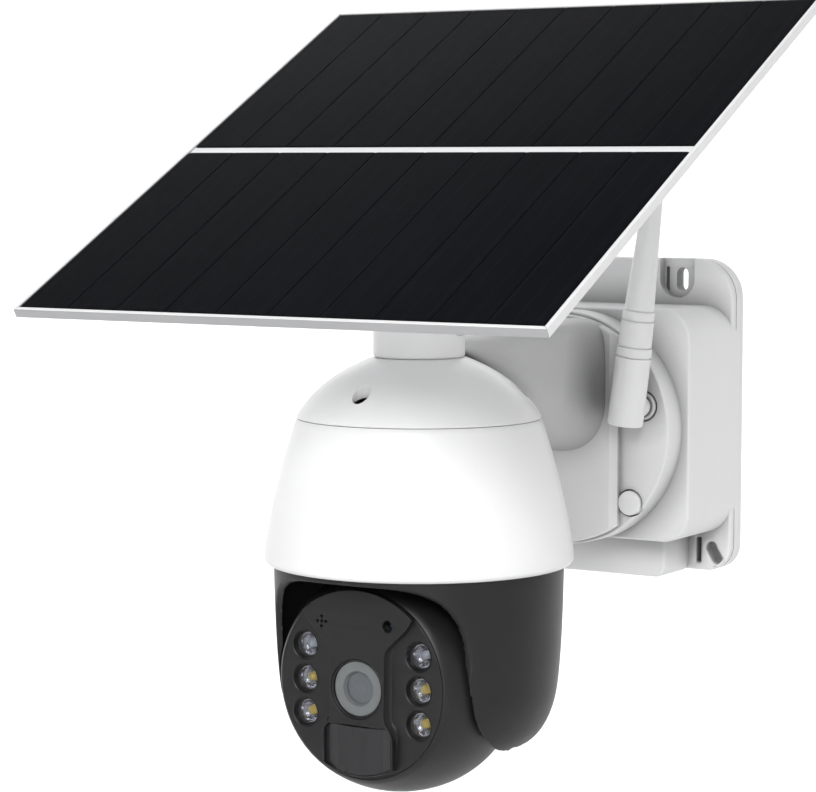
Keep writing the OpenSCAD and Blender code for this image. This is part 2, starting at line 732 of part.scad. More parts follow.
module lens_barrel() {
    color("#202022") on_face(0, lens_z) difference() {
        union() {
            rod_y(8, 2.6 - island_up, 11);
            rod_y(6.4, 11 - e, 20);
        }
        translate([0, 2.5 - island_up, 0]) rotate([-90, 0, 0]) cylinder(r1 = 6.6, r2 = 3.4, h = 5);
    }
}
module sensor_board() {
    color("darkgreen") on_face(0, lens_z) difference() {
        translate([-15, 20, -15]) cube([30, 1.6, 30]);
        rod_y(1, 19, 22);
    }
}
module led_reflectors() {
    color("silver") led_sites(led_zs) difference() {
        rod_y(led_r - 0.05, 0.2, 6.4);
        translate([0, 0.1, 0]) rotate([-90, 0, 0]) cylinder(r1 = 5.2, r2 = 2.9, h = 4.6);
    }
}
module led_chip() {
    rod_y(2.6, 3.4, 4.7);
    translate([0, 3.4, 0]) sphere(2.2);
}
module ir_leds() {
    color("lightsteelblue") led_sites([led_zs[0]]) led_chip();
}
module white_leds() {
    color("khaki") led_sites([led_zs[1], led_zs[2]]) led_chip();
}
module microphone() {
    color("gray") on_face(-16.5, face_z + 24.5) rod_y(3, 1.8, 4.6);
}
module light_sensor() {
    color("slategray") on_face(14.4, face_z + 25) {
        rod_y(2.1, -0.4, 2);
        rod_y(3, 1.8, 4.2);
    }
}
module pir_outline(gap) {
    intersection() {
        translate([0, face_z - 27]) rrect(31 + 2 * gap, 22 + 2 * gap, 3);
        translate([0, face_z]) circle(plate_r - 1 + gap);
    }
}
module pir_window() {
    color("#262628") difference() {
        intersection() {
            translate([0, face_y + 46.4, face_z - 45]) cylinder(r = 50, h = 40, $fn = 160);
            deep(face_y - 8, face_y + 1.8) pir_outline(0);
        }
        intersection() {
            translate([0, face_y + 46.4, face_z - 45]) cylinder(r = 48.6, h = 40, $fn = 160);
            deep(face_y - 8, face_y + 3) translate([0, face_z - 26.5]) square([25, 14], center = true);
        }
    }
}
module pir_sensor() {
    color("silver") on_face(0, face_z - 26.5) {
        rod_y(4.2, 0.5, 4.4);
        rod_y(4.8, 4.4 - e, 5);
        translate([-12, 5 - e, -8]) cube([24, 1.2, 13]);
    }
}

// ---------- solar panel ----------
module at_hinge() { translate([0, axis_y, hinge_z]) children(); }
// The panel's own frame: w = 0 is its top face
module on_panel() {
    at_hinge() rotate([panel_tilt, 0, 0]) translate([0, panel_back_off, panel_up]) children();
}
module swivel_bracket() {
    color("gainsboro") difference() {
        union() {
            at_axis() rotate_extrude() polygon([[0.01, neck_top - 7.4], [spigot_r + 1.5, neck_top - 7.4],
                [spigot_r + 1.5, neck_top - 4.4], [spigot_r, neck_top - 4.4], [spigot_r, neck_top + 0.3],
                [16, neck_top + 0.3], [16, neck_top + 4.3], [0.01, neck_top + 4.3]]);
            for (x = [-10.4, 6.4]) {
                at_hinge() rod_x(8, x, x + 4);
                translate([x, axis_y - 8, neck_top + 2]) cube([4, 16, hinge_z - neck_top - 2]);
            }
        }
        at_hinge() rod_x(hinge_r - 0.05, -20, 20);
    }
}
module hinge_bolt() {
    color("silver") at_hinge() {
        rod_x(hinge_r - 0.05, -14.5, 12);
        rotate([0, 90, 0]) translate([0, 0, -13.4]) cylinder(r = 5, h = 3, $fn = 6);
    }
    color("dimgray") at_hinge() difference() {
        rod_x(8.5, 10.4, 18);
        for (i = [0:11]) rotate([i * 30, 0, 0]) translate([0, 9.3, 0]) rod_x(1.5, 9, 20);
    }
}
module panel_mount() {
    color("gainsboro") difference() {
        union() {
            on_panel() translate([0, -panel_back_off + 8, sheet_low - 3]) linear_extrude(3) rrect(72, 84, 8);
            at_hinge() rotate([panel_tilt, 0, 0]) {
                rod_x(8, -6, 6);
                translate([-6, -8, 0]) cube([12, 16, panel_up + sheet_low - 2]);
                for (y = [-14, 11]) translate([-1.5, y, 8]) cube([3, 4, panel_up + sheet_low - 10]);
            }
        }
        at_hinge() rod_x(hinge_r, -20, 20);
    }
}
module panel_frame() {
    color("gainsboro") on_panel() difference() {
        translate([0, 0, -panel_t]) linear_extrude(panel_t) rrect(panel_w, panel_l, 2.5);
        translate([0, 0, sheet_low]) linear_extrude(4)
            square([panel_w - 2 * frame_lip, panel_l - 2 * frame_lip], center = true);
        translate([0, 0, -panel_t - 1]) linear_extrude(8) square([panel_w - 24, panel_l - 24], center = true);
    }
}
module panel_back() {
    w = panel_w - 2 * frame_lip;
    l = panel_l - 2 * frame_lip;
    color("white") on_panel() translate([-w / 2, -l / 2, sheet_low]) cube([w, l, -sheet_low - 0.8]);
}
module solar_cells() {
    field_w = panel_w - 2 * border;
    half_l = (panel_l - 2 * border - divider) / 2;
    cell_w = (field_w - (strips - 1) * cell_gap) / strips;
    color("#14151a") on_panel() for (i = [0:strips - 1], s = [-1, 1])
        translate([-field_w / 2 + i * (cell_w + cell_gap), s < 0 ? -half_l - divider / 2 : divider / 2, -0.8])
            cube([cell_w, half_l, cell_t]);
}
module junction_box() {
    color("dimgray") on_panel() translate([0, 55, sheet_low]) {
        translate([-26, -17, -12]) cube([52, 34, 12]);
        translate([0, 0, -6]) rod_y(4, -24, -16);
    }
}

box_housing();
back_cover();
back_seal();
cover_screws();
battery_cells();
battery_tray();
charge_board();
port_block();
charge_port();
port_plug();
power_button();
mount_ring();
arm();
flange_screws();
screw_caps();
antenna_socket();
antenna();
wire_harness();
neck_column();
neck_screw();
top_cap();
cap_screws();
seam_seal();
shell();
chassis_plate();
pan_bearing();
pan_motor();
pan_pinion();
pan_gear();
hub_nut();
main_board();
pan_yoke();
arm_covers();
speaker();
tilt_shafts();
tilt_gear();
tilt_motor();
tilt_pinion();
head_front();
head_back();
head_seal();
face_plate();
lens_ring();
lens_glass();
lens_barrel();
sensor_board();
led_reflectors();
ir_leds();
white_leds();
microphone();
light_sensor();
pir_window();
pir_sensor();
swivel_bracket();
hinge_bolt();
panel_mount();
panel_frame();
panel_back();
solar_cells();
junction_box();
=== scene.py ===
"""Looks of the solar-powered pan and tilt security camera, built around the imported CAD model."""
import json
import math

import bmesh
import bpy
from mathutils import Matrix, Vector


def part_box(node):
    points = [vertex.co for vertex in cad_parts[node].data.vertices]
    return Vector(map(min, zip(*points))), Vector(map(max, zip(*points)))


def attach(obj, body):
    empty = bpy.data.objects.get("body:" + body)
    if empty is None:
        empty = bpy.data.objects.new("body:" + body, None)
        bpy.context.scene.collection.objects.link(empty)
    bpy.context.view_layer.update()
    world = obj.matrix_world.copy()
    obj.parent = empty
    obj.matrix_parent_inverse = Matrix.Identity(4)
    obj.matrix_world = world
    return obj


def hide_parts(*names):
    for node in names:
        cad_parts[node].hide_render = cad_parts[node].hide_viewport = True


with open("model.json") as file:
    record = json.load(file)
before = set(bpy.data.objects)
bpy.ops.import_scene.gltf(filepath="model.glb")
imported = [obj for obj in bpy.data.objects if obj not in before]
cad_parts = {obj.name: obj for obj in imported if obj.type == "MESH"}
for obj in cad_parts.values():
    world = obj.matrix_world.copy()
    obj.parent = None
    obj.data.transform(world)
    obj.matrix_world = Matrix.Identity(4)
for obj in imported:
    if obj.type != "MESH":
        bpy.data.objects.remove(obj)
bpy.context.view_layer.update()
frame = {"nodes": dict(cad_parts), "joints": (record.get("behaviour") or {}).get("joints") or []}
NODES = frame["nodes"]
JOINTS = {j["name"]: j for j in frame["joints"]}
MM = 0.001  # metres; shapes are drawn in millimetres
SCENE = bpy.context.scene


# ---------------------------------------------------------------- places, from the frame
def middle(node):
    low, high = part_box(node)
    return (low + high) / 2


def size(node):
    low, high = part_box(node)
    return high - low


PAN = Vector(JOINTS["camera_pan"]["pos_m"])
TILT = Vector(JOINTS["camera_tilt"]["pos_m"])
HINGE = Vector(JOINTS["panel_tilt"]["pos_m"])
ANTENNA = Vector(JOINTS["antenna_swing"]["pos_m"])
PANEL_TILT = math.radians(28.5)  # the panel's slope at rest
FACE_AHEAD = 1.8  # mm, the face panel's front ahead of its seal
FACE_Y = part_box("head_seal")[0].y - FACE_AHEAD * MM
RING_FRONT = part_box("mount_ring")[0].y
BOX_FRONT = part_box("box_housing")[0].y
SEAM_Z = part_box("shell")[1].z
RIM_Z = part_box("shell")[0].z
NECK_LOW, NECK_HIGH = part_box("neck_column")


# ---------------------------------------------------------------- materials
class Nodes:
    """A short way to build a material's node tree; its lengths are in metres."""

    def __init__(self, name):
        self.mat = bpy.data.materials.new(name)
        self.mat.use_nodes = True
        self.tree = self.mat.node_tree
        self.bsdf = self.tree.nodes["Principled BSDF"]

    def add(self, kind, **values):
        node = self.tree.nodes.new(kind)
        for key, value in values.items():
            if hasattr(node, key):
                setattr(node, key, value)
            else:
                node.inputs[key].default_value = value
        return node

    def link(self, a, b):
        self.tree.links.new(a, b)

    def set(self, **values):
        for key, value in values.items():
            self.bsdf.inputs[key.replace("_", " ")].default_value = value

    def coords(self, scale=1.0, turn=(0, 0, 0)):
        tex = self.add("ShaderNodeTexCoord")
        mapping = self.add("ShaderNodeMapping")
        mapping.inputs["Scale"].default_value = (scale, scale, scale)
        mapping.inputs["Rotation"].default_value = turn
        self.link(tex.outputs["Object"], mapping.inputs["Vector"])
        return mapping.outputs["Vector"]

    def noise(self, scale, detail=3.0, vector=None):
        tex = self.add("ShaderNodeTexNoise", Scale=scale, Detail=detail)
        self.link(vector or self.coords(), tex.inputs["Vector"])
        return tex.outputs["Fac"]

    def ramp(self, fac, stops):
        node = self.add("ShaderNodeValToRGB")
        while len(node.color_ramp.elements) < len(stops):
            node.color_ramp.elements.new(0.5)
        for element, (place, colour) in zip(node.color_ramp.elements, stops):
            element.position = place
            element.color = (*colour, 1)
        self.link(fac, node.inputs["Fac"])
        return node.outputs["Color"]

    def range(self, fac, low, high):
        node = self.add("ShaderNodeMapRange")
        node.inputs["To Min"].default_value = low
        node.inputs["To Max"].default_value = high
        self.link(fac, node.inputs["Value"])
        return node.outputs["Result"]

    def bump(self, height, strength, distance):
        node = self.add("ShaderNodeBump", Strength=strength, Distance=distance)
        self.link(height, node.inputs["Height"])
        self.link(node.outputs["Normal"], self.bsdf.inputs["Normal"])


def tint(colour, factor):
    return tuple(min(1.0, c * factor) for c in colour)


def moulded(name, colour, roughness, grain=900, depth=0.00004, coat=0.0, variation=0.03,
            specular=0.5, painted_shade_reach=0.0):
    """Moulded plastic: faint colour drift, roughness drift, a fine moulded grain and, given a shade reach,
    painted shade in its corners.

    depth is the grain's height and the shade reach the distance over which shade is painted into its
    corners, in metres."""
    m = Nodes(name)
    cloud = m.noise(18, 4)
    tone = m.ramp(cloud, [(0.3, tint(colour, 1 - variation)), (0.7, tint(colour, 1 + variation))])
    if painted_shade_reach:
        # painted shade: an ambient occlusion node darkens the colour in creases and gaps
        painted_crease_shade = m.add("ShaderNodeAmbientOcclusion", samples=8, Distance=painted_shade_reach)
        m.link(tone, painted_crease_shade.inputs["Color"])
        tone = painted_crease_shade.outputs["Color"]
    m.link(tone, m.bsdf.inputs["Base Color"])
    m.link(m.range(m.noise(60, 4), roughness - 0.04, roughness + 0.04), m.bsdf.inputs["Roughness"])
    m.set(IOR=1.48, Specular_IOR_Level=specular, Coat_Weight=coat, Coat_Roughness=0.08)
    m.bump(m.noise(grain, 3), 0.25, depth)
    return m.mat


def metal(name, colour, roughness, brush=(1, 1, 14)):
    """Metal with faint brushed streaks; brush stretches them."""
    m = Nodes(name)
    tex = m.add("ShaderNodeTexCoord")
    mapping = m.add("ShaderNodeMapping")
    mapping.inputs["Scale"].default_value = brush
    m.link(tex.outputs["Object"], mapping.inputs["Vector"])
    streak = m.noise(260, 3, mapping.outputs["Vector"])
    tone = m.ramp(streak, [(0.3, tint(colour, 0.88)), (0.7, tint(colour, 1.08))])
    m.link(tone, m.bsdf.inputs["Base Color"])
    m.link(m.range(streak, roughness - 0.07, roughness + 0.07), m.bsdf.inputs["Roughness"])
    m.set(Metallic=1.0)
    m.bump(streak, 0.12, 0.00003)
    return m.mat


def rubber(name, colour):
    m = Nodes(name)
    m.link(m.ramp(m.noise(40, 4), [(0.3, tint(colour, 0.8)), (0.7, tint(colour, 1.25))]),
           m.bsdf.inputs["Base Color"])
    m.set(Roughness=0.72, Sheen_Weight=0.15)
    m.bump(m.noise(1400, 2), 0.35, 0.00005)
    return m.mat


def circuit(name):
    """Green solder mask with copper traces and pads."""
    m = Nodes(name)
    vector = m.coords()
    brick = m.add("ShaderNodeTexBrick", Scale=90.0)
    m.link(vector, brick.inputs["Vector"])
    brick.inputs["Color1"].default_value = (0.010, 0.13, 0.05, 1)
    brick.inputs["Color2"].default_value = (0.012, 0.16, 0.06, 1)
    brick.inputs["Mortar"].default_value = (0.05, 0.30, 0.11, 1)
    brick.inputs["Mortar Size"].default_value = 0.03
    m.link(brick.outputs["Color"], m.bsdf.inputs["Base Color"])
    m.set(Roughness=0.38)
    m.bump(brick.outputs["Fac"], 0.3, 0.00005)
    return m.mat


def solar_cell(name):
    """Black laminated cells: fine print lines across, busbars along and a faint cloudy blue."""
    m = Nodes(name)
    vector = m.coords(turn=(-PANEL_TILT, 0, 0))
    cloud = m.noise(9, 5, vector)
    base = m.ramp(cloud, [(0.25, (0.0028, 0.0032, 0.0045)), (0.75, (0.0042, 0.0048, 0.0064))])
    fingers = m.add("ShaderNodeTexWave", Scale=140.0, bands_direction="Y")
    m.link(vector, fingers.inputs["Vector"])
    bars = m.add("ShaderNodeTexWave", Scale=34.5, bands_direction="X")
    m.link(vector, bars.inputs["Vector"])
    thin = m.ramp(fingers.outputs["Fac"], [(0.90, (0, 0, 0)), (1.0, (0.06, 0.06, 0.06))])
    wide = m.ramp(bars.outputs["Fac"], [(0.985, (0, 0, 0)), (0.998, (0.22, 0.22, 0.22))])
    lines = m.add("ShaderNodeMix", data_type="RGBA", blend_type="ADD")
    lines.inputs[0].default_value = 1.0
    m.link(thin, lines.inputs[6])
    m.link(wide, lines.inputs[7])
    mixed = m.add("ShaderNodeMix", data_type="RGBA", blend_type="MIX")
    m.link(lines.outputs[2], mixed.inputs[0])
    m.link(base, mixed.inputs[6])
    mixed.inputs[7].default_value = (0.022, 0.024, 0.029, 1)
    m.link(mixed.outputs[2], m.bsdf.inputs["Base Color"])
    m.link(m.range(m.noise(300, 3, vector), 0.30, 0.42), m.bsdf.inputs["Roughness"])
    m.set(Specular_IOR_Level=0.012)
    m.bump(m.noise(700, 2, vector), 0.12, 0.00004)
    return m.mat


def lens_element(name):
    """The coated front element: dark, with a painted reflection that tints it blue and violet towards its
    edge by the facing angle.
    """
    m = Nodes(name)
    weight = m.add("ShaderNodeLayerWeight", Blend=0.35)
    stops = [(0.0, (0.010, 0.013, 0.020)), (0.5, (0.03, 0.04, 0.08)), (1.0, (0.10, 0.09, 0.16))]
    m.link(m.ramp(weight.outputs["Facing"], stops), m.bsdf.inputs["Base Color"])
    m.link(m.range(m.noise(90, 2), 0.03, 0.07), m.bsdf.inputs["Roughness"])
    m.set(Coat_Weight=1.0, Coat_Roughness=0.01)
    return m.mat


def clear_dome(name, colour):
    """The clear plastic over a lamp."""
    m = Nodes(name)
    m.link(m.ramp(m.noise(200, 2), [(0.3, tint(colour, 0.95)), (0.7, colour)]), m.bsdf.inputs["Base Color"])
    m.set(Roughness=0.03, IOR=1.41, Transmission_Weight=1.0)
    return m.mat


MAT = {
    "white_gloss": moulded("white_gloss", (0.87, 0.87, 0.87), 0.36, grain=500, depth=0.00002,
                           coat=0.08, variation=0.012),
    # white_satin and the arm's grey below carry painted shade in their creases
    "white_satin": moulded("white_satin", (0.82, 0.82, 0.825), 0.42, variation=0.015, painted_shade_reach=0.014),
    # painted shade: the arm is white satin drawn mid grey for the shade it sits in under the panel
    "arm_white_painted_shade": moulded("arm_white_painted_shade", (0.56, 0.56, 0.565), 0.46, variation=0.015, painted_shade_reach=0.022),
    "black_satin": moulded("black_satin", (0.011, 0.011, 0.0116), 0.42, grain=1500, depth=0.00005,
                           variation=0.12, specular=0.4),
    "grey_plastic": moulded("grey_plastic", (0.42, 0.43, 0.44), 0.45),
    "seal_rubber": rubber("seal_rubber", (0.030, 0.030, 0.031)),
    "steel": metal("steel", (0.62, 0.62, 0.63), 0.30),
    "reflector": metal("reflector", (0.36, 0.36, 0.38), 0.24, brush=(1, 1, 1)),
    "black_face": moulded("black_face", (0.012, 0.012, 0.0126), 0.40, grain=1300, depth=0.00003,
                          variation=0.08, specular=0.4),
    "window": moulded("window", (0.018, 0.018, 0.020), 0.28, grain=600, depth=0.00002, variation=0.06),
    # painted reflection: the front glass is drawn light grey for the pale room it mirrors
    "lens_front_painted_reflection": moulded("lens_front_painted_reflection", (0.150, 0.162, 0.164), 0.34, grain=300, depth=0.00001,
                          coat=0.2, variation=0.05),
    "lens_eye": moulded("lens_eye", (0.105, 0.118, 0.130), 0.22, grain=300, depth=0.00001,
                        coat=0.4, variation=0.12),
    "led_chip": moulded("led_chip", (0.55, 0.57, 0.60), 0.25, grain=2600, depth=0.00005, variation=0.15),
    "lens_element": lens_element("lens_element"),
    "led_clear": clear_dome("led_clear", (0.80, 0.82, 0.86)),
    "led_phosphor": moulded("led_phosphor", (0.80, 0.58, 0.10), 0.5, grain=2600, depth=0.0001,
                            variation=0.15),
    "circuit": circuit("circuit"),
    "gear_nylon": moulded("gear_nylon", (0.78, 0.73, 0.60), 0.45),
    "cell_wrap": moulded("cell_wrap", (0.03, 0.26, 0.22), 0.28, coat=0.5),
    "solar_cell": solar_cell("solar_cell"),
    "cell_backing": moulded("cell_backing", (0.009, 0.010, 0.012), 0.6, variation=0.2, specular=0.02),
    "panel_sheet": moulded("panel_sheet", (0.84, 0.85, 0.86), 0.35, variation=0.02),
    # painted shade: the frame is white; its front rail's face is drawn grey as if turned from the light
    "panel_rail": moulded("panel_rail", (0.40, 0.40, 0.41), 0.42, variation=0.02),
}


# ---------------------------------------------------------------- mesh helpers
def add_object(name, mesh, material, smooth=35):
    """Puts a mesh in the scene; edges sharper than smooth degrees stay sharp, and 0 keeps it flat."""
    obj = bpy.data.objects.new(name, mesh)
    SCENE.collection.objects.link(obj)
    mesh.materials.clear()
    mesh.materials.append(MAT[material])
    if smooth:
        mesh.shade_smooth()
        mesh.set_sharp_from_angle(angle=math.radians(smooth))
    return obj


def piece(obj, body, slot, *nodes):
    """Puts a finished piece on its body and hides the CAD nodes that it stands for; slot is not used."""
    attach(obj, body)
    if nodes:
        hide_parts(*nodes)
    return obj


def turn_to(axis):
    """A rotation that takes local +Z to axis."""
    return Vector((0, 0, 1)).rotation_difference(Vector(axis).normalized()).to_matrix().to_4x4()


def lathe_mesh(profile, steps=96):
    """Turns a profile of (radius, height) in millimetres about Z; a zero radius closes it at a pole."""
    bm = bmesh.new()
    rings = []
    turns = [2 * math.pi * i / steps for i in range(steps)]
    for r, h in profile:
        if r < 1e-6:
            rings.append([bm.verts.new((0, 0, h * MM))])
            continue
        rings.append([bm.verts.new((r * MM * math.cos(t), r * MM * math.sin(t), h * MM)) for t in turns])
    closed = len(rings[0]) > 1 and len(rings[-1]) > 1
    pairs = list(zip(rings, rings[1:])) + ([(rings[-1], rings[0])] if closed else [])
    for a, b in pairs:
        for i in range(steps):
            j = (i + 1) % steps
            painted_crease_shade = [a[i % len(a)], a[j % len(a)], b[j % len(b)], b[i % len(b)]]
            unique = list(dict.fromkeys(painted_crease_shade))
            if len(unique) > 2:
                bm.faces.new(unique)
    bmesh.ops.recalc_face_normals(bm, faces=bm.faces)
    mesh = bpy.data.meshes.new("lathe")
    bm.to_mesh(mesh)
    bm.free()
    return mesh


def lathe(name, profile, material, place=(0, 0, 0), axis=(0, 0, 1), steps=96, smooth=35):
    """A turned object; its profile's heights run along axis from place, which is in metres."""
    mesh = lathe_mesh(profile, steps)
    mesh.transform(Matrix.Translation(Vector(place)) @ turn_to(axis))
    return add_object(name, mesh, material, smooth)


def curve(a, b, c, n):
    """A smooth quadratic run from a over control b to c."""
    out = []
    for i in range(n + 1):
        t = i / n
        out.append(tuple(a[k] * (1 - t) ** 2 + 2 * b[k] * t * (1 - t) + c[k] * t * t for k in (0, 1)))
    return out


def arc(r, start, end, n, centre=(0, 0)):
    """n + 1 points round centre, from start to end degrees."""
    out = []
    for i in range(n + 1):
        a = math.radians(start + (end - start) * i / n)
        out.append((centre[0] + r * math.cos(a), centre[1] + r * math.sin(a)))
    return out


def circle(r, centre=(0, 0), n=64):
    return arc(r, 0, 360 - 360 / n, n - 1, centre)


def rounded(w, h, r, centre=(0, 0), n=10):
    """A rectangle with round corners; r is one radius, or (top, bottom)."""
    top, low = (r, r) if isinstance(r, (int, float)) else r
    painted_crease_shade = [(1, 1, top, 0), (-1, 1, top, 90), (-1, -1, low, 180), (1, -1, low, 270)]
    out = []
    for sx, sy, q, a in painted_crease_shade:
        out += arc(q, a, a + 90, n, (centre[0] + sx * (w / 2 - q), centre[1] + sy * (h / 2 - q)))
    return out


def slot_outline(w, h, centre, lean=0.0):
    """An upright slot with round ends, turned clockwise by lean degrees."""
    r = w / 2
    pts = arc(r, 0, 180, 12, (0, h / 2 - r)) + arc(r, 180, 360, 12, (0, r - h / 2))
    c, s = math.cos(math.radians(lean)), math.sin(math.radians(lean))
    return [(centre[0] + x * c + y * s, centre[1] - x * s + y * c) for x, y in pts]


def plate_mesh(loops, low, high, bevel, steps=3, bevel_low=True):
    """A plate with holes between heights low and high; loops are its outline and its holes, in mm.

    The curve's own bevel rounds every edge. Without bevel_low the lower edge stays square."""
    data = bpy.data.curves.new("plate", "CURVE")
    data.dimensions = "2D"
    data.fill_mode = "BOTH"
    for loop in loops:
        spline = data.splines.new("POLY")
        spline.points.add(len(loop) - 1)
        spline.use_cyclic_u = True
        for point, (x, y) in zip(spline.points, loop):
            point.co = (x * MM, y * MM, 0, 1)
    if not bevel_low:
        low -= 2 * bevel
    data.extrude = ((high - low) / 2 - bevel) * MM
    data.bevel_depth = bevel * MM
    data.bevel_resolution = steps
    data.offset = -bevel * MM
    obj = bpy.data.objects.new("plate", data)
    SCENE.collection.objects.link(obj)
    deps = bpy.context.evaluated_depsgraph_get()
    mesh = bpy.data.meshes.new_from_object(obj.evaluated_get(deps))
    bpy.data.objects.remove(obj)
    bm = bmesh.new()
    bm.from_mesh(mesh)
    bmesh.ops.remove_doubles(bm, verts=bm.verts, dist=1e-6)
    bmesh.ops.translate(bm, verts=bm.verts, vec=(0, 0, (high + low) / 2 * MM))
    if not bevel_low:
        geom = bm.verts[:] + bm.edges[:] + bm.faces[:]
        trimmed = bmesh.ops.bisect_plane(bm, geom=geom, plane_co=(0, 0, (low + 2 * bevel) * MM),
                                         plane_no=(0, 0, -1), clear_outer=True)
        edges = [e for e in trimmed["geom_cut"] if isinstance(e, bmesh.types.BMEdge)]
        bmesh.ops.triangle_fill(bm, use_beauty=True, edges=edges)
    bmesh.ops.recalc_face_normals(bm, faces=bm.faces)
    bm.to_mesh(mesh)
    bm.free()
    return mesh


# Local (u, v, w) to world (X, Z, -Y): drawings seen from the front, w towards the camera
FRONT = Matrix(((1, 0, 0, 0), (0, 0, -1, 0), (0, 1, 0, 0), (0, 0, 0, 1)))


def front_plate(loops, y_back, y_front, bevel, **options):
    """plate_mesh seen from the front: loops are (x, z) in mm, y_back and y_front in mm."""
    mesh = plate_mesh(loops, -y_back, -y_front, bevel, **options)
    mesh.transform(FRONT)
    return mesh


def join(meshes):
    """One mesh of several."""
    bm = bmesh.new()
    for mesh in meshes:
        bm.from_mesh(mesh)
    out = bpy.data.meshes.new("joined")
    bm.to_mesh(out)
    bm.free()
    return out


def apply(obj):
    """Replaces obj's mesh with its modifiers' result."""
    deps = bpy.context.evaluated_depsgraph_get()
    mesh = bpy.data.meshes.new_from_object(obj.evaluated_get(deps))
    obj.modifiers.clear()
    obj.data = mesh
    return obj


def cut(obj, *meshes, operation="DIFFERENCE"):
    """Takes each mesh away from obj, or keeps what is inside it when operation is INTERSECT."""
    for mesh in meshes:
        tool = bpy.data.objects.new("tool", mesh)
        SCENE.collection.objects.link(tool)
        mod = obj.modifiers.new("cut", "BOOLEAN")
        mod.operation = operation
        mod.solver = "EXACT"
        mod.object = tool
        apply(obj)
        bpy.data.objects.remove(tool)
    return obj


def soften(obj, width, angle=38, segments=3):
    """Rounds the sharp edges of an object."""
    mod = obj.modifiers.new("soften", "BEVEL")
    mod.width = width * MM
    mod.segments = segments
    mod.limit_method = "ANGLE"
    mod.angle_limit = math.radians(angle)
    return obj


def shade(obj, angle):
    """Smooth shading, with edges sharper than angle degrees kept sharp."""
    obj.data.shade_smooth()
    obj.data.set_sharp_from_angle(angle=math.radians(angle))


def blend_solid(obj, voxel, passes):
    """Voxel remesh and smoothing, which turn joined solids into one moulding with soft edges."""
    mod = obj.modifiers.new("voxels", "REMESH")
    mod.mode = "VOXEL"
    mod.voxel_size = voxel * MM
    apply(obj)
    mod = obj.modifiers.new("relax", "SMOOTH")
    mod.factor = 0.5
    mod.iterations = passes
    apply(obj)
    shade(obj, 50)
    return obj


def box_mesh(low, high):
    """A box between two corners, for cutting with."""
    bm = bmesh.new()
    bmesh.ops.create_cube(bm, size=1)
    low, high = Vector(low) * MM, Vector(high) * MM
    for v in bm.verts:
        v.co = Vector(low[k] + (v.co[k] + 0.5) * (high[k] - low[k]) for k in range(3))
    mesh = bpy.data.meshes.new("box")
    bm.to_mesh(mesh)
    bm.free()
    return mesh


# ---------------------------------------------------------------- camera, stage and light
def make_camera():
    azimuth, rise, distance = math.radians(32), math.radians(5.5), 1.1
    aim = Vector((0, PAN.y, SEAM_Z - 2.6 * MM))
    back = Vector((math.sin(azimuth) * math.cos(rise), -math.cos(azimuth) * math.cos(rise), math.sin(rise)))
    data = bpy.data.cameras.new("camera")
    data.sensor_width = 36
    data.lens = 120
    data.shift_x = -0.0135
    data.shift_y = 0.0343
    camera = bpy.data.objects.new("camera", data)
    camera.location = aim + back * distance
    camera.rotation_euler = (-back).to_track_quat("-Z", "Y").to_euler()
    SCENE.collection.objects.link(camera)
    SCENE.camera = camera


def make_stage():
    """A pale floor that curves up into a round backdrop."""
    floor, reach = -420, 1500
    bend = arc(reach, -90, 0, 16, (reach, floor + reach))
    profile = [(0, floor), (reach, floor)] + bend + [(2 * reach, 2 * reach)]
    stage = lathe("floor", profile, "white_satin", steps=96)
    m = Nodes("studio_floor")
    tone = m.ramp(m.noise(3, 2), [(0.3, (0.86, 0.86, 0.86)), (0.7, (0.88, 0.88, 0.88))])
    m.link(tone, m.bsdf.inputs["Base Color"])
    m.set(Roughness=0.9)
    stage.data.materials[0] = m.mat
    stage.data.flip_normals()


def area_light(name, place, aim, width, power):
    """A square lamp, in metres and watts."""
    data = bpy.data.lights.new(name, "AREA")
    data.shape = "RECTANGLE"
    data.size = width
    data.size_y = width
    data.energy = power
    obj = bpy.data.objects.new(name, data)
    obj.location = place
    obj.rotation_euler = (Vector(aim) - Vector(place)).to_track_quat("-Z", "Y").to_euler()
    SCENE.collection.objects.link(obj)


def make_light():
    world = bpy.data.worlds.new("studio")
    world.use_nodes = True
    sky = world.node_tree.nodes["Background"]
    sky.inputs["Color"].default_value = (1, 1, 1, 1)
    sky.inputs["Strength"].default_value = 0.28
    SCENE.world = world
    SCENE.view_settings.view_transform = "Standard"
    aim = (0, -0.18, 0)
    area_light("key", (0.9, -2.1, 1.2), aim, 1.0, 38)
    area_light("top", (-0.2, -0.4, 2.2), aim, 1.2, 6)
    area_light("backdrop", (-0.9, 1.2, 1.6), (-1.6, 2.6, -0.2), 1.2, 45)


make_camera()
make_stage()
make_light()


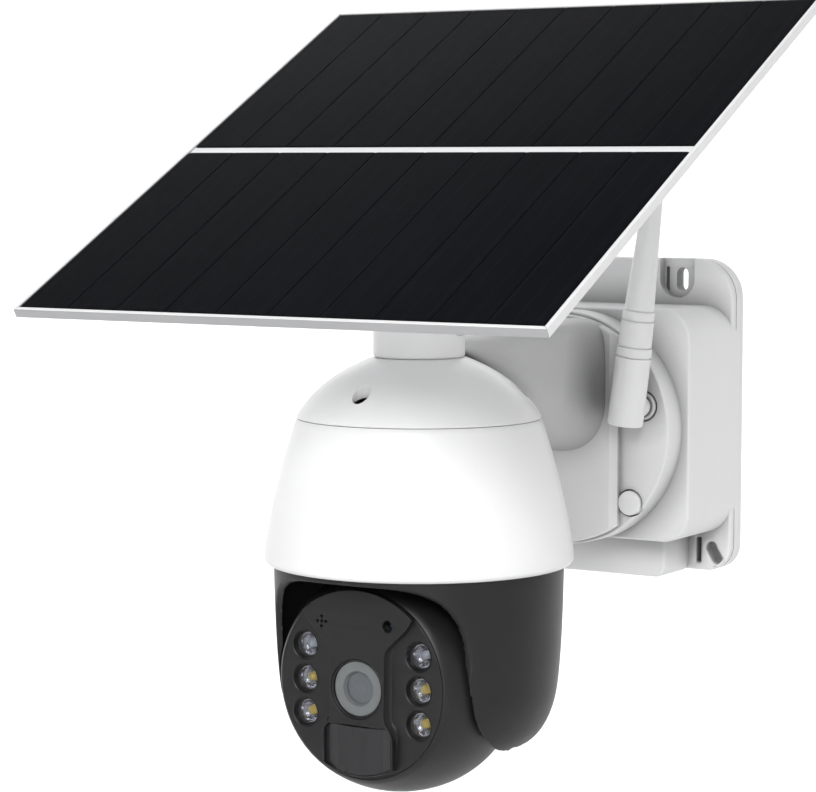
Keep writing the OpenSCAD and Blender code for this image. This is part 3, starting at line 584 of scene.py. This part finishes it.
# ---------------------------------------------------------------- wall box
def make_wall_box():
    w, _, h = size("box_housing") / MM
    front = BOX_FRONT / MM
    flange_t = 11.5  # the wall flange's depth
    ear_t = 7.0  # the depth left in the pockets round the upper slots
    box_h = 102.4
    box_z = -1.4
    lid = rounded(w - 5.4, box_h - 5.4, 11, (0, box_z))
    uppers = [(s * 27.8, 61) for s in (-1, 1)]
    lowers = [(s * 47, -62.2) for s in (-1, 1)]
    outline = rounded(w, h, (18, 12))
    slots = [slot_outline(5.6, 10.6, c) for c in uppers]
    slots += [slot_outline(5.2, 10.6, c, -30 * math.copysign(1, c[0])) for c in lowers]
    # thin slots beside the screw slots
    slots += [rounded(1.7, 11.4, 0.7, (s * 20.4, 61)) for s in (-1, 1)]
    slots += [rounded(2.1, 11.4, 0.7, (s * 39.2, -61.2)) for s in (-1, 1)]
    back = front_plate([outline, lid] + slots, 0, -3.2, 0.25)
    ears = front_plate([outline] + slots, -3.15, -ear_t, 0.2)
    # pockets, cut below, open the flange round the upper slots
    flange = front_plate([outline] + slots[2:4] + slots[6:], -ear_t + 0.05, -flange_t, 1.2)
    body_outline = rounded(w + 0.06, box_h, 13, (0, box_z))
    body = front_plate([body_outline], -3.25, front, 1.2, steps=4, bevel_low=False)
    rim = add_object("flange_rim", flange, "white_satin")
    for s in (-1, 1):
        pocket = slot_outline(17.4, 46, (s * 27.3, 52.6 + 23))
        cut(rim, front_plate([pocket], -ear_t + 1, -flange_t - 3, 0.05))
    obj = add_object("wall_box", join([back, ears, rim.data, body]), "white_satin")
    bpy.data.objects.remove(rim)
    piece(obj, "wall_mount", "white_satin", "box_housing")


def make_flange():
    w = size("mount_ring").x / 2 / MM
    low, high = RING_FRONT / MM, BOX_FRONT / MM
    depth = high - low
    ring_z = middle("mount_ring").z
    profile = [(0, 0), (w, 0), (w, depth - 0.9)] + arc(0.9, 0, 90, 5, (w - 0.9, depth - 0.9)) + [(0, depth)]
    obj = lathe("round_flange", profile, "white_satin", (0, BOX_FRONT, ring_z), (0, -1, 0), 160)
    wells = []
    caps = middle("screw_caps")
    span = (size("screw_caps") / MM) / 2
    for sx in (-1, 1):
        for sz in (-1, 1):
            centre = (caps.x / MM + sx * (span.x - 5.3), caps.z / MM + sz * (span.z - 5.3))
            wells.append(front_plate([circle(6.1, centre, 40)], low + 2.2, low - 2, 0.1))
            cap = [(0, -2.1), (5.4, -2.1), (5.4, 0.9)] + arc(0.8, 0, 80, 4, (4.6, 0.9))
            cap += [(2.5, 1.85), (0, 1.9)]
            knob = lathe(f"screw_cap_{sx}_{sz}".replace("-1", "a").replace("1", "b"), cap, "white_gloss",
                         (centre[0] * MM, RING_FRONT, centre[1] * MM), (0, -1, 0), 48)
            piece(knob, "wall_mount", "white_gloss", "screw_caps")
    seat = (ANTENNA.x / MM, ANTENNA.z / MM)
    wells.append(front_plate([circle(6.9, seat, 48), circle(6.2, seat, 48)], low + 1.2, low - 2, 0.05))
    cut(obj, *wells)
    obj.data.set_sharp_from_angle(angle=math.radians(35))
    piece(obj, "wall_mount", "white_satin", "mount_ring")


# ---------------------------------------------------------------- arm
def loft(sections, steps=96):
    """Joins oval sections of (y, middle z, half width, height above, height below, two exponents)."""
    bm = bmesh.new()
    rings = []
    for y, z, a, above, below, n_up, n_low in sections:
        ring = []
        for i in range(steps):
            t = 2 * math.pi * i / steps
            c, s = math.cos(t), math.sin(t)
            b, n = (above, n_up) if s >= 0 else (below, n_low)
            x = a * math.copysign(abs(c) ** (2 / n), c)
            up = b * math.copysign(abs(s) ** (2 / n), s)
            ring.append(bm.verts.new((x * MM, y * MM, (z + up) * MM)))
        rings.append(ring)
    for p, q in zip(rings, rings[1:]):
        for i in range(steps):
            j = (i + 1) % steps
            bm.faces.new((p[i], p[j], q[j], q[i]))
    bm.faces.new(rings[0])
    bm.faces.new(rings[-1][::-1])
    bmesh.ops.recalc_face_normals(bm, faces=bm.faces)
    mesh = bpy.data.meshes.new("loft")
    bm.to_mesh(mesh)
    bm.free()
    return mesh


def make_arm():
    ring_z = middle("mount_ring").z / MM
    face = RING_FRONT / MM
    neck = PAN.y / MM
    bar = front_plate([circle(50.3, (0, ring_z), 160)], face + 0.5, face - 5.5, 1.0)
    obj = add_object("arm_bar", bar, "white_satin")
    sides = front_plate([rounded(57, 120, 12, (0, ring_z))], face + 5, face - 5.6, 2.9, steps=0,
                        bevel_low=False)
    cut(obj, sides, operation="INTERSECT")
    obj.data.shade_flat()
    piece(obj, "wall_mount", "white_satin")
    start, end = face - 3, neck + 10
    sections = []
    count = 24
    for i in range(count + 1):
        t = i / count
        ease = t * t * (3 - 2 * t)
        flare = max(0.0, 1 - t / 0.12) ** 2
        top = 46.5 - 5.5 * t - 0.6 * flare
        low = -14.8 + 52.0 * t ** 0.92 + 0.6 * flare
        a = 22.0 - 9.5 * ease + 2.6 * flare
        mid = (top + low) / 2 - 5 * (1 - ease)
        sections.append((start + (end - start) * t, mid, a, top - mid, mid - low, 5.5 - 3.2 * ease, 2.3))
    # painted shade: the horn's white plastic wears that darker grey
    piece(add_object("arm_horn", loft(sections), "arm_white_painted_shade", 50), "wall_mount", "white_satin", "arm")


# ---------------------------------------------------------------- neck, cap and shell
def at_pan():
    """The pan axis at height zero, in metres."""
    return (0, PAN.y, 0.0)


def make_neck():
    r = size("neck_column").x / 2 / MM
    low, high = NECK_LOW.z / MM, NECK_HIGH.z / MM
    outer = arc(1.5, -90, 0, 6, (r - 1.5, low + 1.5)) + arc(2, 0, 90, 6, (r - 2, high - 2))
    profile = [(15, low)] + outer + [(8.1, high), (8.1, high - 4), (15, high - 4)]
    obj = lathe("neck", profile, "white_gloss", at_pan(), steps=128)
    piece(obj, "wall_mount", "white_gloss", "neck_column")
    z = middle("neck_screw").z
    head = [(0, -5), (1.5, -5), (1.5, -0.3), (3.2, -0.3), (3.2, 1.5), (2.9, 2.0), (2.0, 2.0)]
    head += [(1.7, 1.2), (0, 1.2)]
    screw = lathe("neck_screw_head", head, "steel", (r * MM, PAN.y, z), (1, 0, 0), 40)
    piece(screw, "wall_mount", "steel", "neck_screw")


SEAM_R = 49.9  # the joint between the dome's cap and shell
CAP_BOLTS = [(40 * math.sin(math.radians(a)), -40 * math.cos(math.radians(a))) for a in (-2, 118, 238)]


def make_cap():
    seam_z = SEAM_Z / MM
    profile = [(14, 35.6)] + curve((19.2, 35.6), (40.5, 27.5), (SEAM_R - 0.25, seam_z + 0.7), 26)
    profile += [(SEAM_R - 0.7, seam_z + 0.25), (SEAM_R - 3, seam_z + 0.25), (44, 18), (14, 32)]
    obj = lathe("dome_cap", profile, "white_gloss", at_pan(), steps=160)
    wells = [plate_mesh([circle(3.8, (x, y + PAN.y / MM), 40)], 14.5, 60, 0.05) for x, y in CAP_BOLTS]
    cut(obj, *wells)
    obj.data.set_sharp_from_angle(angle=math.radians(30))
    soften(obj, 0.5, angle=32)
    apply(obj)
    shade(obj, 40)
    piece(obj, "wall_mount", "white_gloss", "top_cap")
    cup = [(0, 16.8), (3.75, 16.8), (3.75, 19.0), (3.5, 19.0), (3.2, 18.2), (0, 18.2)]
    head = [(0, 6), (1.4, 6), (1.4, 14.6), (3.1, 14.6), (3.1, 15.8), (2.5, 16.7), (1.6, 16.7)]
    head += [(1.4, 15.6), (0, 15.6)]
    for i, (x, y) in enumerate(CAP_BOLTS):
        place = (x * MM, PAN.y + y * MM, 0)
        piece(lathe(f"cap_well_{i}", cup, "white_satin", place, steps=40), "wall_mount", "white_satin")
        piece(lathe(f"cap_screw_{i}", head, "steel", place, steps=32), "wall_mount", "steel", "cap_screws")


def make_shell():
    seam_z, rim, r = SEAM_Z / MM, RIM_Z / MM, size("shell").x / 2 / MM
    line = curve((SEAM_R, seam_z - 0.7), (59.2, -18), (r, rim + 4.6), 36)
    lip = arc(2.4, 0, -90, 7, (r - 2.4, rim + 2.4))
    inside = [(r - 4.2, rim), (r - 4.2, rim + 3), (r - 6, rim + 20), (SEAM_R - 3, seam_z - 3)]
    inside += [(36, seam_z - 3)]
    profile = [(36, seam_z), (SEAM_R - 0.7, seam_z)] + line + lip + inside
    obj = lathe("dome_shell", profile, "white_gloss", at_pan(), steps=192)
    piece(obj, "wall_mount", "white_gloss", "shell")
    low, high, outer = seam_z - 0.5, seam_z + 0.6, SEAM_R - 0.9
    ring = [(46, low), (outer, low), (outer, high), (46, high)]
    seal = lathe("seam_line", ring, "seal_rubber", at_pan(), steps=160)
    piece(seal, "wall_mount", "seal_rubber", "seam_seal")


# ---------------------------------------------------------------- antenna
def make_antenna():
    lean = math.radians(7.4)
    # the foot, two pairs of grooves, then the tapering whip
    line = [(0, -7.2), (6.9, -7.2)] + arc(0.9, -90, 0, 4, (6.8, -6.3))
    line += [(7.6, 22.4), (6.7, 22.5), (6.7, 23.0), (7.6, 23.1)]
    line += [(7.55, 26.8), (6.5, 26.9), (6.5, 27.4), (7.2, 27.5)]
    line += [(7.0, 38.2), (6.2, 38.3), (6.2, 38.8), (6.95, 38.9)]
    line += [(6.9, 42.5), (5.9, 42.6), (5.9, 43.1), (6.4, 43.2)]
    line += [(5.4, 64), (4.4, 88), (4.1, 94.5)] + arc(4.05, 0, 90, 8, (0, 95))
    obj = lathe("antenna_mast", line, "white_gloss", ANTENNA, (math.sin(lean), 0, math.cos(lean)), 80)
    piece(obj, "antenna", "white_gloss", "antenna")
    gap = (RING_FRONT - ANTENNA.y) / MM
    barrel = [(0, 0), (4.6, 0), (4.6, gap - 3.0), (4.0, gap - 2.2), (4.0, gap - 1.1), (0, gap - 1.1)]
    piece(lathe("antenna_barrel", barrel, "white_gloss", ANTENNA, (0, 1, 0), 48), "antenna", "white_gloss")
    socket = [(0, -1), (6.1, -1), (6.1, 0.2)] + arc(0.8, 0, 90, 4, (5.3, 0.2))
    socket += [(4.9, 1.0), (4.7, 0.4), (0, 0.4)]
    place = (ANTENNA.x, RING_FRONT, ANTENNA.z)
    piece(lathe("antenna_seat", socket, "white_satin", place, (0, -1, 0), 48), "wall_mount", "white_satin",
          "antenna_socket")


# ---------------------------------------------------------------- port block
def make_port_block():
    low, high = (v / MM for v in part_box("port_block"))
    outline = rounded(high.x - low.x, high.z - low.z, (1.6, 5), (0, (low.z + high.z) / 2))
    block = front_plate([outline], high.y, low.y, 1.4, steps=4, bevel_low=False)
    piece(add_object("port_block_cover", block, "white_satin"), "wall_mount", "white_satin", "port_block")


# ---------------------------------------------------------------- yoke
# Local (u, v, w) to world (Y, Z, X): drawings seen from the side
SIDE = Matrix(((0, 0, 1, 0), (1, 0, 0, 0), (0, 1, 0, 0), (0, 0, 0, 1)))


def side_plate(loops, half):
    """A prism from x = -half to half; loops are (y, z)."""
    mesh = plate_mesh(loops, -half, half, 0.05)
    mesh.transform(SIDE)
    return mesh


def arch(half, top, corner, drop):
    """Front view of the opening between the yoke's arms; its corners are corner wide and drop high."""
    bend = [(half - corner + corner * x, top - drop + drop * z) for x, z in arc(1, 0, 90, 14)]
    return [(-half, -132)] + [(-x, z) for x, z in bend] + bend[::-1] + [(half, -132)]


def yoke_line(inset):
    """The yoke's outline of revolution, moved in by inset."""
    line = [(58.6, -38), (58.9, -49.6)] + curve((58.9, -49.6), (58.4, -82), (56.4, -98), 14)[1:]
    line += curve((56.4, -98), (53.2, -119), (38, -124), 14)[1:]
    return [(r - inset, z) for r, z in line]


def make_yoke():
    axis = PAN.y / MM
    top, wall = -38.0, 2.6
    gap = 45.4  # half the room between the arms, just outside the ball's flat cheeks

    def from_side(points, half):
        """A prism across the yoke; points are (y from the pan axis, z)."""
        return side_plate([[(axis + y, z) for y, z in points]], half)

    outside = yoke_line(0)
    inside = [(r, z) for r, z in yoke_line(wall) if z < top - 4]
    profile = [(6, top)] + outside + inside[::-1] + [(outside[0][0] - wall, top - 3), (6, top - 3)]
    obj = lathe("pan_yoke_shell", profile, "black_satin", at_pan(), steps=160)
    under = [(-5, -140), (-5, -88)] + curve((-4, -88), (4, -112), (34, -126), 12) + [(34, -140)]
    # the arms end in flat lips at the front, which bend into the ring above
    ahead = [(-80, -140), (-80, -49.4)] + curve((-58, -49.8), (-37.4, -51.4), (-35.2, -80), 14)
    ahead += curve((-35.2, -88), (-35.2, -107), (-14, -118.5), 12) + [(-4, -122), (-4, -140)]
    cut(obj,
        front_plate([arch(gap, -50.5, 29, 50)], axis - 4, axis - 80, 0.05),
        front_plate([arch(gap, -43, 12, 12)], axis + 45, axis - 33, 0.05),
        from_side(under, 46.5),
        from_side(ahead, 62))
    blend_solid(obj, 0.6, 3)
    slots = []
    for i in range(-3, 4):
        x = i * 3.6
        slots.append(box_mesh((x - 0.8, axis + 48, -78), (x + 0.8, axis + 64, -63)))
    cut(obj, join(slots))
    shade(obj, 50)
    piece(obj, "pan_unit", "black_satin", "pan_yoke")
    hub = [(6, -41), (12, -41), (12, -24.4), (10, -24.4), (10, -13), (6, -13)]
    piece(lathe("pan_hub", hub, "black_satin", at_pan(), steps=48), "pan_unit", "black_satin")


# ---------------------------------------------------------------- camera head
BALL_R = 47.8
FACE_R = 38.6
BALL_Y = (PAN.y / MM) - 10  # the ball's widest place
BALL_FACE = FACE_Y / MM - BALL_Y
BALL_FRONT = -BALL_FACE / math.sqrt(1 - (FACE_R / BALL_R) ** 2)
BALL_BACK = 46
BALL_WALL = 2.4
SPLIT = 13  # the joint between the halves, behind BALL_Y


def ball_radius(y):
    """The ball's radius at y from its widest place; its front and back halves are part ellipsoids."""
    return BALL_R * math.sqrt(max(0.0, 1 - (y / (BALL_FRONT if y < 0 else BALL_BACK)) ** 2))


def on_face(u=0.0, v=0.0, depth=0.0):
    """A point on the camera's face, depth behind it, in metres."""
    return (u * MM, FACE_Y + depth * MM, TILT.z + v * MM)


def face_lathe(name, profile, material, u=0.0, v=0.0, steps=64, smooth=35, depth=0.0):
    """A turned piece on the face; its profile's heights run forward from depth behind the face."""
    return lathe(name, profile, material, on_face(u, v, depth), (0, -1, 0), steps, smooth)


def head_piece(obj, slot, *nodes):
    return piece(obj, "camera_head", slot, *nodes)


def cheeks():
    """A box that keeps what lies between the ball's flat cheeks."""
    half, reach, z = 45, 60, TILT.z / MM
    return box_mesh((-half, BALL_Y - reach, z - reach), (half, BALL_Y + reach, z + reach))


def make_head():
    count = 30
    ys = [SPLIT + (BALL_FACE - SPLIT) * i / count for i in range(count + 1)]
    outside = [(ball_radius(y), BALL_FACE - y) for y in ys[:-1]]
    rim = [(FACE_R - 0.15, -0.6), (FACE_R - 0.5, -0.3), (37.8, -0.25), (37.7, -0.4)]
    ledge = [(37.7, -2.4), (36, -2.4), (36, -6)]
    inside = [(ball_radius(y) - BALL_WALL, BALL_FACE - y) for y in ys[::-1] if y > BALL_FACE + 7]
    front = face_lathe("head_front_half", outside + rim + ledge + inside, "black_satin", steps=160)
    cut(front, cheeks(), operation="INTERSECT")
    count = 20
    angles = [math.radians(16.6 + 73.4 * i / count) for i in range(count + 1)]
    shell = [(BALL_R * math.cos(a), BALL_BACK * math.sin(a)) for a in angles]
    outer = [(r if i < count else 0, BALL_FACE - y) for i, (r, y) in enumerate(shell)]
    inner = [(max(r - BALL_WALL, 0), h + BALL_WALL * y / BALL_BACK) for (r, h), (_, y) in zip(outer, shell)]
    back = face_lathe("head_back_half", outer[::-1] + inner, "black_satin", steps=160)
    cut(back, cheeks(), operation="INTERSECT")
    for obj, node in ((front, "head_front"), (back, "head_back")):
        soften(obj, 0.5, angle=33)
        apply(obj)
        shade(obj, 40)
        head_piece(obj, "black_satin", node)


# (u, v) on the face: u across and v up from its centre
LED_X = 26.6
LED_ROWS = (13.6, 0.0, -13.6)
LENS_V = -1.2
MIC = (-16.5, 24.5)
SENSOR = (14.4, 25)
ISLAND_UP = 3.4  # the island stands this far ahead of the lamp areas
ISLAND_R = 38.25
SKIRT = 1.9  # the reach of the slope at the island's sides


def rounded_chain(points, r, n=5):
    """An open run of points with its inner corners rounded by short curves."""
    out = [points[0]]
    for before, here, after in zip(points, points[1:], points[2:]):
        a, b, c = Vector(before), Vector(here), Vector(after)
        start = b + (a - b).normalized() * min(r, (a - b).length * 0.48)
        end = b + (c - b).normalized() * min(r, (c - b).length * 0.48)
        out += curve(start, b, end, n)
    return out + [points[-1]]


def angle_of(point):
    return math.degrees(math.atan2(point[1], point[0]))


def face_outlines():
    """The island, the window and the small holes, in (u, v) about the face's centre."""
    top, low = (25.6, 28.42), (16.6, -32.17)
    right = rounded_chain([low, (16.6, -18), (12.6, -14), (13, 15), (23, 24), top], 3.5)
    left = [(-u, v) for u, v in right[::-1]]
    island = right[:-1] + arc(ISLAND_R, angle_of(top), 180 - angle_of(top), 30) + left[1:-1]
    island += arc(36.2, 180 - angle_of(low), 360 + angle_of(low), 20)[:-1]
    corner = (15.5, -31.9)
    window = arc(3, 0, 90, 6, (12.5, -19)) + arc(3, 90, 180, 6, (-12.5, -19))
    window += arc(35.46, 180 - angle_of(corner), 360 + angle_of(corner), 20)
    cross = ((0, 0), (2, 0), (-2, 0), (0, 2), (0, -2))
    mic = [circle(0.62, (MIC[0] + du, MIC[1] + dv), 16) for du, dv in cross]
    return island, window, mic, circle(2.3, SENSOR, 32)


def lift(loops):
    """Moves (u, v) outlines to the world's (x, z)."""
    return [[(u, v + TILT.z / MM) for u, v in loop] for loop in loops]


def make_face():
    y = FACE_Y / MM
    island, window, mic, sensor = face_outlines()
    lens = circle(12, (0, LENS_V), 72)
    leds = [circle(6, (s * LED_X, v), 48) for s in (-1, 1) for v in LED_ROWS]
    holes = [lens, sensor, window] + leds + mic
    base = front_plate(lift([circle(37.6, n=160)] + holes), y + 2.2, y + 0.02, 0.3)
    top = front_plate(lift([island, lens, sensor, window] + mic), y + 0.1, y - ISLAND_UP, 0.45, steps=4)
    head_piece(add_object("face_panel", base, "black_face", 30), "black_gloss", "face_plate")
    head_piece(add_object("face_island", top, "black_face", 30), "black_gloss")
    skirts = []
    for side in (-1, 1):
        edge = [(side * u, v) for u, v in island[:len(island) // 3] if v < 27 and u > 0]
        skirts.append(skirt_mesh(edge, side))
    head_piece(add_object("island_skirt", join(skirts), "black_face", 60), "black_gloss")
    mesh_disc = [(0, -2.9), (3.2, -2.9), (3.2, -2.3), (0, -2.3)]
    head_piece(face_lathe("mic_mesh", mesh_disc, "seal_rubber", *MIC, 32), "seal_rubber")
    eye = [(0, -3), (2.25, -3), (2.25, -1.6), (1.8, -0.7), (1.0, -0.1), (0, 0.1)]
    head_piece(face_lathe("light_sensor_eye", eye, "lens_element", *SENSOR, 32), "lens", "light_sensor")


def skirt_mesh(edge, side):
    """A sloped strip from the island's edge, near its top, out and down to the lamp area."""
    bm = bmesh.new()
    rows = []
    count = len(edge)
    foot = -0.9  # the strip's underside lies behind the face
    for i, (u, v) in enumerate(edge):
        before, after = Vector(edge[max(i - 1, 0)]), Vector(edge[min(i + 1, count - 1)])
        run = (after - before).normalized()
        out = Vector((run.y, -run.x))
        if out.x * side < 0:
            out = -out
        fade = min(1.0, i / 6, (count - 1 - i) / 8)
        spots = []
        for k in range(6):
            t = k / 5
            spots.append((SKIRT * t * fade, (ISLAND_UP - 0.5) * (1 - t) ** 1.6 * fade - 0.05))
        spots += [(SKIRT * fade, foot), (-0.6, foot)]
        rows.append([bm.verts.new(on_face(u + out.x * reach, v + out.y * reach, -ahead))
                     for reach, ahead in spots])
    for a, b in zip(rows, rows[1:]):
        for k in range(len(a)):
            j = (k + 1) % len(a)
            bm.faces.new((a[k], b[k], b[j], a[j]))
    bm.faces.new(rows[0])
    bm.faces.new(rows[-1][::-1])
    bmesh.ops.recalc_face_normals(bm, faces=bm.faces)
    mesh = bpy.data.meshes.new("skirt")
    bm.to_mesh(mesh)
    bm.free()
    return mesh


def make_lens():
    def lens_lathe(name, profile, material, steps=64):
        """A turned piece of the lens, which moves forward with the island."""
        return face_lathe(name, profile, material, 0, LENS_V, steps, depth=FACE_AHEAD - ISLAND_UP)

    ring = [(11.15, -7.5), (12, -7.5), (12, 1.25), (11.7, 1.5), (11.4, 1.5), (11.15, 1.25)]
    head_piece(lens_lathe("lens_bezel", ring, "black_satin", 96), "black_satin", "lens_ring")
    glass = [(11.1, -1.2), (11.1, 0.25), (10.75, 0.55), (7.5, 0.7), (7.0, 0.5), (6.3, -1.0), (6.2, -1.2)]
    # the front glass's light grey is painted reflection
    head_piece(lens_lathe("lens_front_painted_reflection", glass, "lens_front_painted_reflection", 96), "lens", "lens_glass")
    seat = [(0, -21.4), (6.4, -21.4), (6.4, -11), (8, -11), (8, -1.3), (6.25, -1.3), (6.25, -3), (0, -3)]
    head_piece(lens_lathe("lens_barrel_body", seat, "black_satin"), "black_satin", "lens_barrel")
    eye = [(0, -2.9), (6.2, -2.9), (6.2, -1.4), (3.3, -1.05), (3.0, -1.2), (1.6, -0.95), (0, -0.9)]
    head_piece(lens_lathe("lens_eye", eye, "lens_eye"), "lens")


def crown_line(r, rise, base, n, first=0):
    """Part of an oval dome's profile, r wide and rise high above base, from its edge towards its top."""
    angles = [math.radians(90 * i / n) for i in range(first, n)]
    return [(r * math.cos(a), base + rise * math.sin(a)) for a in angles]


def make_leds():
    well = [(5.98, 0.1), (5.98, -6.4), (4.8, -6.4), (4.8, -3.1), (5.3, -2.9), (5.7, -0.1)]
    cup = [(4.75, -3.1), (4.75, -6.4), (1.3, -6.4), (1.3, -6.0), (2.4, -5.5), (3.4, -4.6), (4.35, -3.1)]
    dome = [(0, -3.6), (4.2, -3.6), (4.2, -3.1)] + crown_line(4.2, 1.1, -3.1, 9, 1) + [(0, -2.0)]
    chip = [(0, -6.2), (1.25, -6.2), (1.25, -5.5)] + crown_line(1.7, 1.1, -5.3, 6) + [(0, -4.2)]
    # the top lamp of each side is infrared: its material, its record slot and its CAD node
    infrared = ("led_chip", "led_clear", "ir_leds")
    white = ("led_phosphor", "led_phosphor", "white_leds")
    for side, hand in ((-1, "left"), (1, "right")):
        for row, v in enumerate(LED_ROWS):
            u, name = side * LED_X, f"{hand}_{row}"
            look, slot, node = infrared if row == 0 else white
            head_piece(face_lathe(f"led_well_{name}", well, "black_satin", u, v, 48), "black_satin")
            bowl = face_lathe(f"led_cup_{name}", cup, "reflector", u, v, 12, 10)
            head_piece(bowl, "reflector", "led_reflectors")
            head_piece(face_lathe(f"led_chip_{name}", chip, look, u, v, 24), slot, node)
            head_piece(face_lathe(f"led_dome_{name}", dome, "led_clear", u, v, 32), "led_clear")


def make_window():
    """The motion sensor's window: a curved front of narrow flat facets."""
    y, z = FACE_Y / MM, TILT.z / MM
    r, half_width, facets = 50.0, 15.4, 9
    centre = y + r - 4.1
    half = math.degrees(math.asin(half_width / r))
    angles = [math.radians(-half + 2 * half * i / facets) for i in range(facets + 1)]
    front = [(r * math.sin(a), centre - (r - 0.22 * (i % 2)) * math.cos(a)) for i, a in enumerate(angles)]
    block = plate_mesh([front + [(half_width, y + 6), (-half_width, y + 6)]], z - 40, z - 16.2, 0.05)
    obj = add_object("motion_window", block, "window")
    # the opening's outline, a little smaller about its middle
    outline = [(u * 0.994, (v + 27) * 0.992 - 27) for u, v in face_outlines()[1]]
    cut(obj, front_plate(lift([outline]), y + 1.6, y - 8, 0.05), operation="INTERSECT")
    soften(obj, 0.35, angle=4, segments=2)
    apply(obj)
    shade(obj, 3.5)
    head_piece(obj, "black_satin", "pir_window")


# ---------------------------------------------------------------- solar panel
# the panel's own space: x across, y up its slope and z out of its face
PANEL = Matrix.Translation(HINGE) @ Matrix.Rotation(PANEL_TILT, 4, "X")
PANEL = PANEL @ Matrix.Translation((0, 20 * MM, 22.5 * MM))
PANEL_W = size("panel_frame").x / MM
PANEL_L = 263
LIP = 1.6
BORDER = 2.0
DIVIDER = 5.0
SHEET_TOP = -0.8
SHEET_LOW = -2.6
FRAME_LOW = -4.0
FRONT_STEP = -0.5  # the front rail's face, grey with painted shade, starts below its white lip


def rail_mesh(length, turn, place, crown, foot):
    """One rail between heights crown and foot: an L section or a strip, mitred at both ends."""
    section = [(0, crown), (LIP, crown), (LIP, SHEET_LOW), (12, SHEET_LOW), (12, foot), (0, foot)]
    if foot > SHEET_LOW:
        section = [(0, crown), (LIP, crown), (LIP, foot), (0, foot)]
    bm = bmesh.new()
    ends = []
    gap = 0.04
    for side in (-1, 1):
        points = [(side * (length / 2 - n - gap), n, w) for n, w in section]
        ends.append([bm.verts.new((x * MM, y * MM, z * MM)) for x, y, z in points])
    for i in range(len(section)):
        j = (i + 1) % len(section)
        bm.faces.new((ends[0][i], ends[0][j], ends[1][j], ends[1][i]))
    bm.faces.new(ends[0][::-1])
    bm.faces.new(ends[1])
    bmesh.ops.recalc_face_normals(bm, faces=bm.faces)
    mesh = bpy.data.meshes.new("rail")
    bm.to_mesh(mesh)
    bm.free()
    spin = Matrix.Rotation(math.radians(turn), 4, "Z")
    mesh.transform(PANEL @ spin @ Matrix.Translation(Vector(place) * MM))
    return mesh


def make_panel():
    # the front rail's grey face is painted shade on the white frame
    rails = (("front", PANEL_W, 0, PANEL_L, "panel_rail", FRONT_STEP, FRAME_LOW),
             ("front_lip", PANEL_W, 0, PANEL_L, "white_satin", 0, FRONT_STEP + 0.01),
             ("right", PANEL_L, 90, PANEL_W, "white_satin", 0, FRAME_LOW),
             ("back", PANEL_W, 180, PANEL_L, "white_satin", 0, FRAME_LOW),
             ("left", PANEL_L, 270, PANEL_W, "white_satin", 0, FRAME_LOW))
    for name, length, turn, across, material, crown, foot in rails:
        mesh = rail_mesh(length, turn, (0, -across / 2, 0), crown, foot)
        rail = soften(add_object(f"panel_rail_{name}", mesh, material), 0.22, segments=2)
        piece(rail, "solar_panel", material, "panel_frame")
    field_w = PANEL_W - 2 * BORDER
    half = (PANEL_L - 2 * BORDER - DIVIDER) / 2
    backing, strips = [], []
    count = 10
    pitch = field_w / count
    for side in (-1, 1):
        v = side * (DIVIDER + half) / 2
        sheet = rounded(field_w, half, 0.6, (0, v), 3)
        backing.append(plate_mesh([sheet], SHEET_TOP, SHEET_TOP + 0.3, 0.05))
        for i in range(count):
            u = (i - (count - 1) / 2) * pitch
            strip = rounded(pitch - 0.4, half - 0.5, 0.8, (u, v), 3)
            strips.append(plate_mesh([strip], SHEET_TOP + 0.25, SHEET_TOP + 0.55, 0.08, steps=1))
    for name, meshes, material, nodes in (("cell_laminate", backing, "cell_backing", ()),
                                          ("cell_strips", strips, "solar_cell", ("solar_cells",))):
        mesh = join(meshes)
        mesh.transform(PANEL)
        piece(add_object(name, mesh, material, smooth=0), "solar_panel", "solar_cell", *nodes)


# ---------------------------------------------------------------- what keeps its CAD shape
CAD_LOOKS = {
    "white_satin": "back_cover swivel_bracket panel_mount",
    "panel_sheet": "panel_back",
    "grey_plastic": "chassis_plate battery_tray junction_box port_plug power_button",
    "seal_rubber": "back_seal head_seal speaker",
    "steel": "cover_screws flange_screws pan_bearing pan_motor tilt_motor tilt_shafts hub_nut pir_sensor "
             "charge_port hinge_bolt",
    "cell_wrap": "battery_cells",
    "circuit": "charge_board main_board sensor_board",
    "gear_nylon": "pan_pinion pan_gear tilt_gear tilt_pinion",
    "black_satin": "arm_covers wire_harness microphone",
}
# the width of their rounded edges
EDGES = {"back_cover": 0.5, "swivel_bracket": 0.6, "panel_mount": 0.6, "junction_box": 1.2,
         "port_plug": 0.5, "power_button": 0.4, "arm_covers": 0.8, "hinge_bolt": 0.35, "cover_screws": 0.2}


def finish_nodes():
    """Gives every node that keeps its CAD shape its material, and some of them rounded edges."""
    for material, names in CAD_LOOKS.items():
        for name in names.split():
            obj = NODES[name]
            for slot in obj.material_slots:
                slot.material = MAT[material]
            if name in EDGES:
                soften(obj, EDGES[name])


make_wall_box()
make_flange()
make_port_block()
make_arm()
make_neck()
make_cap()
make_shell()
make_antenna()
make_yoke()
make_head()
make_face()
make_lens()
make_leds()
make_window()
make_panel()
finish_nodes()
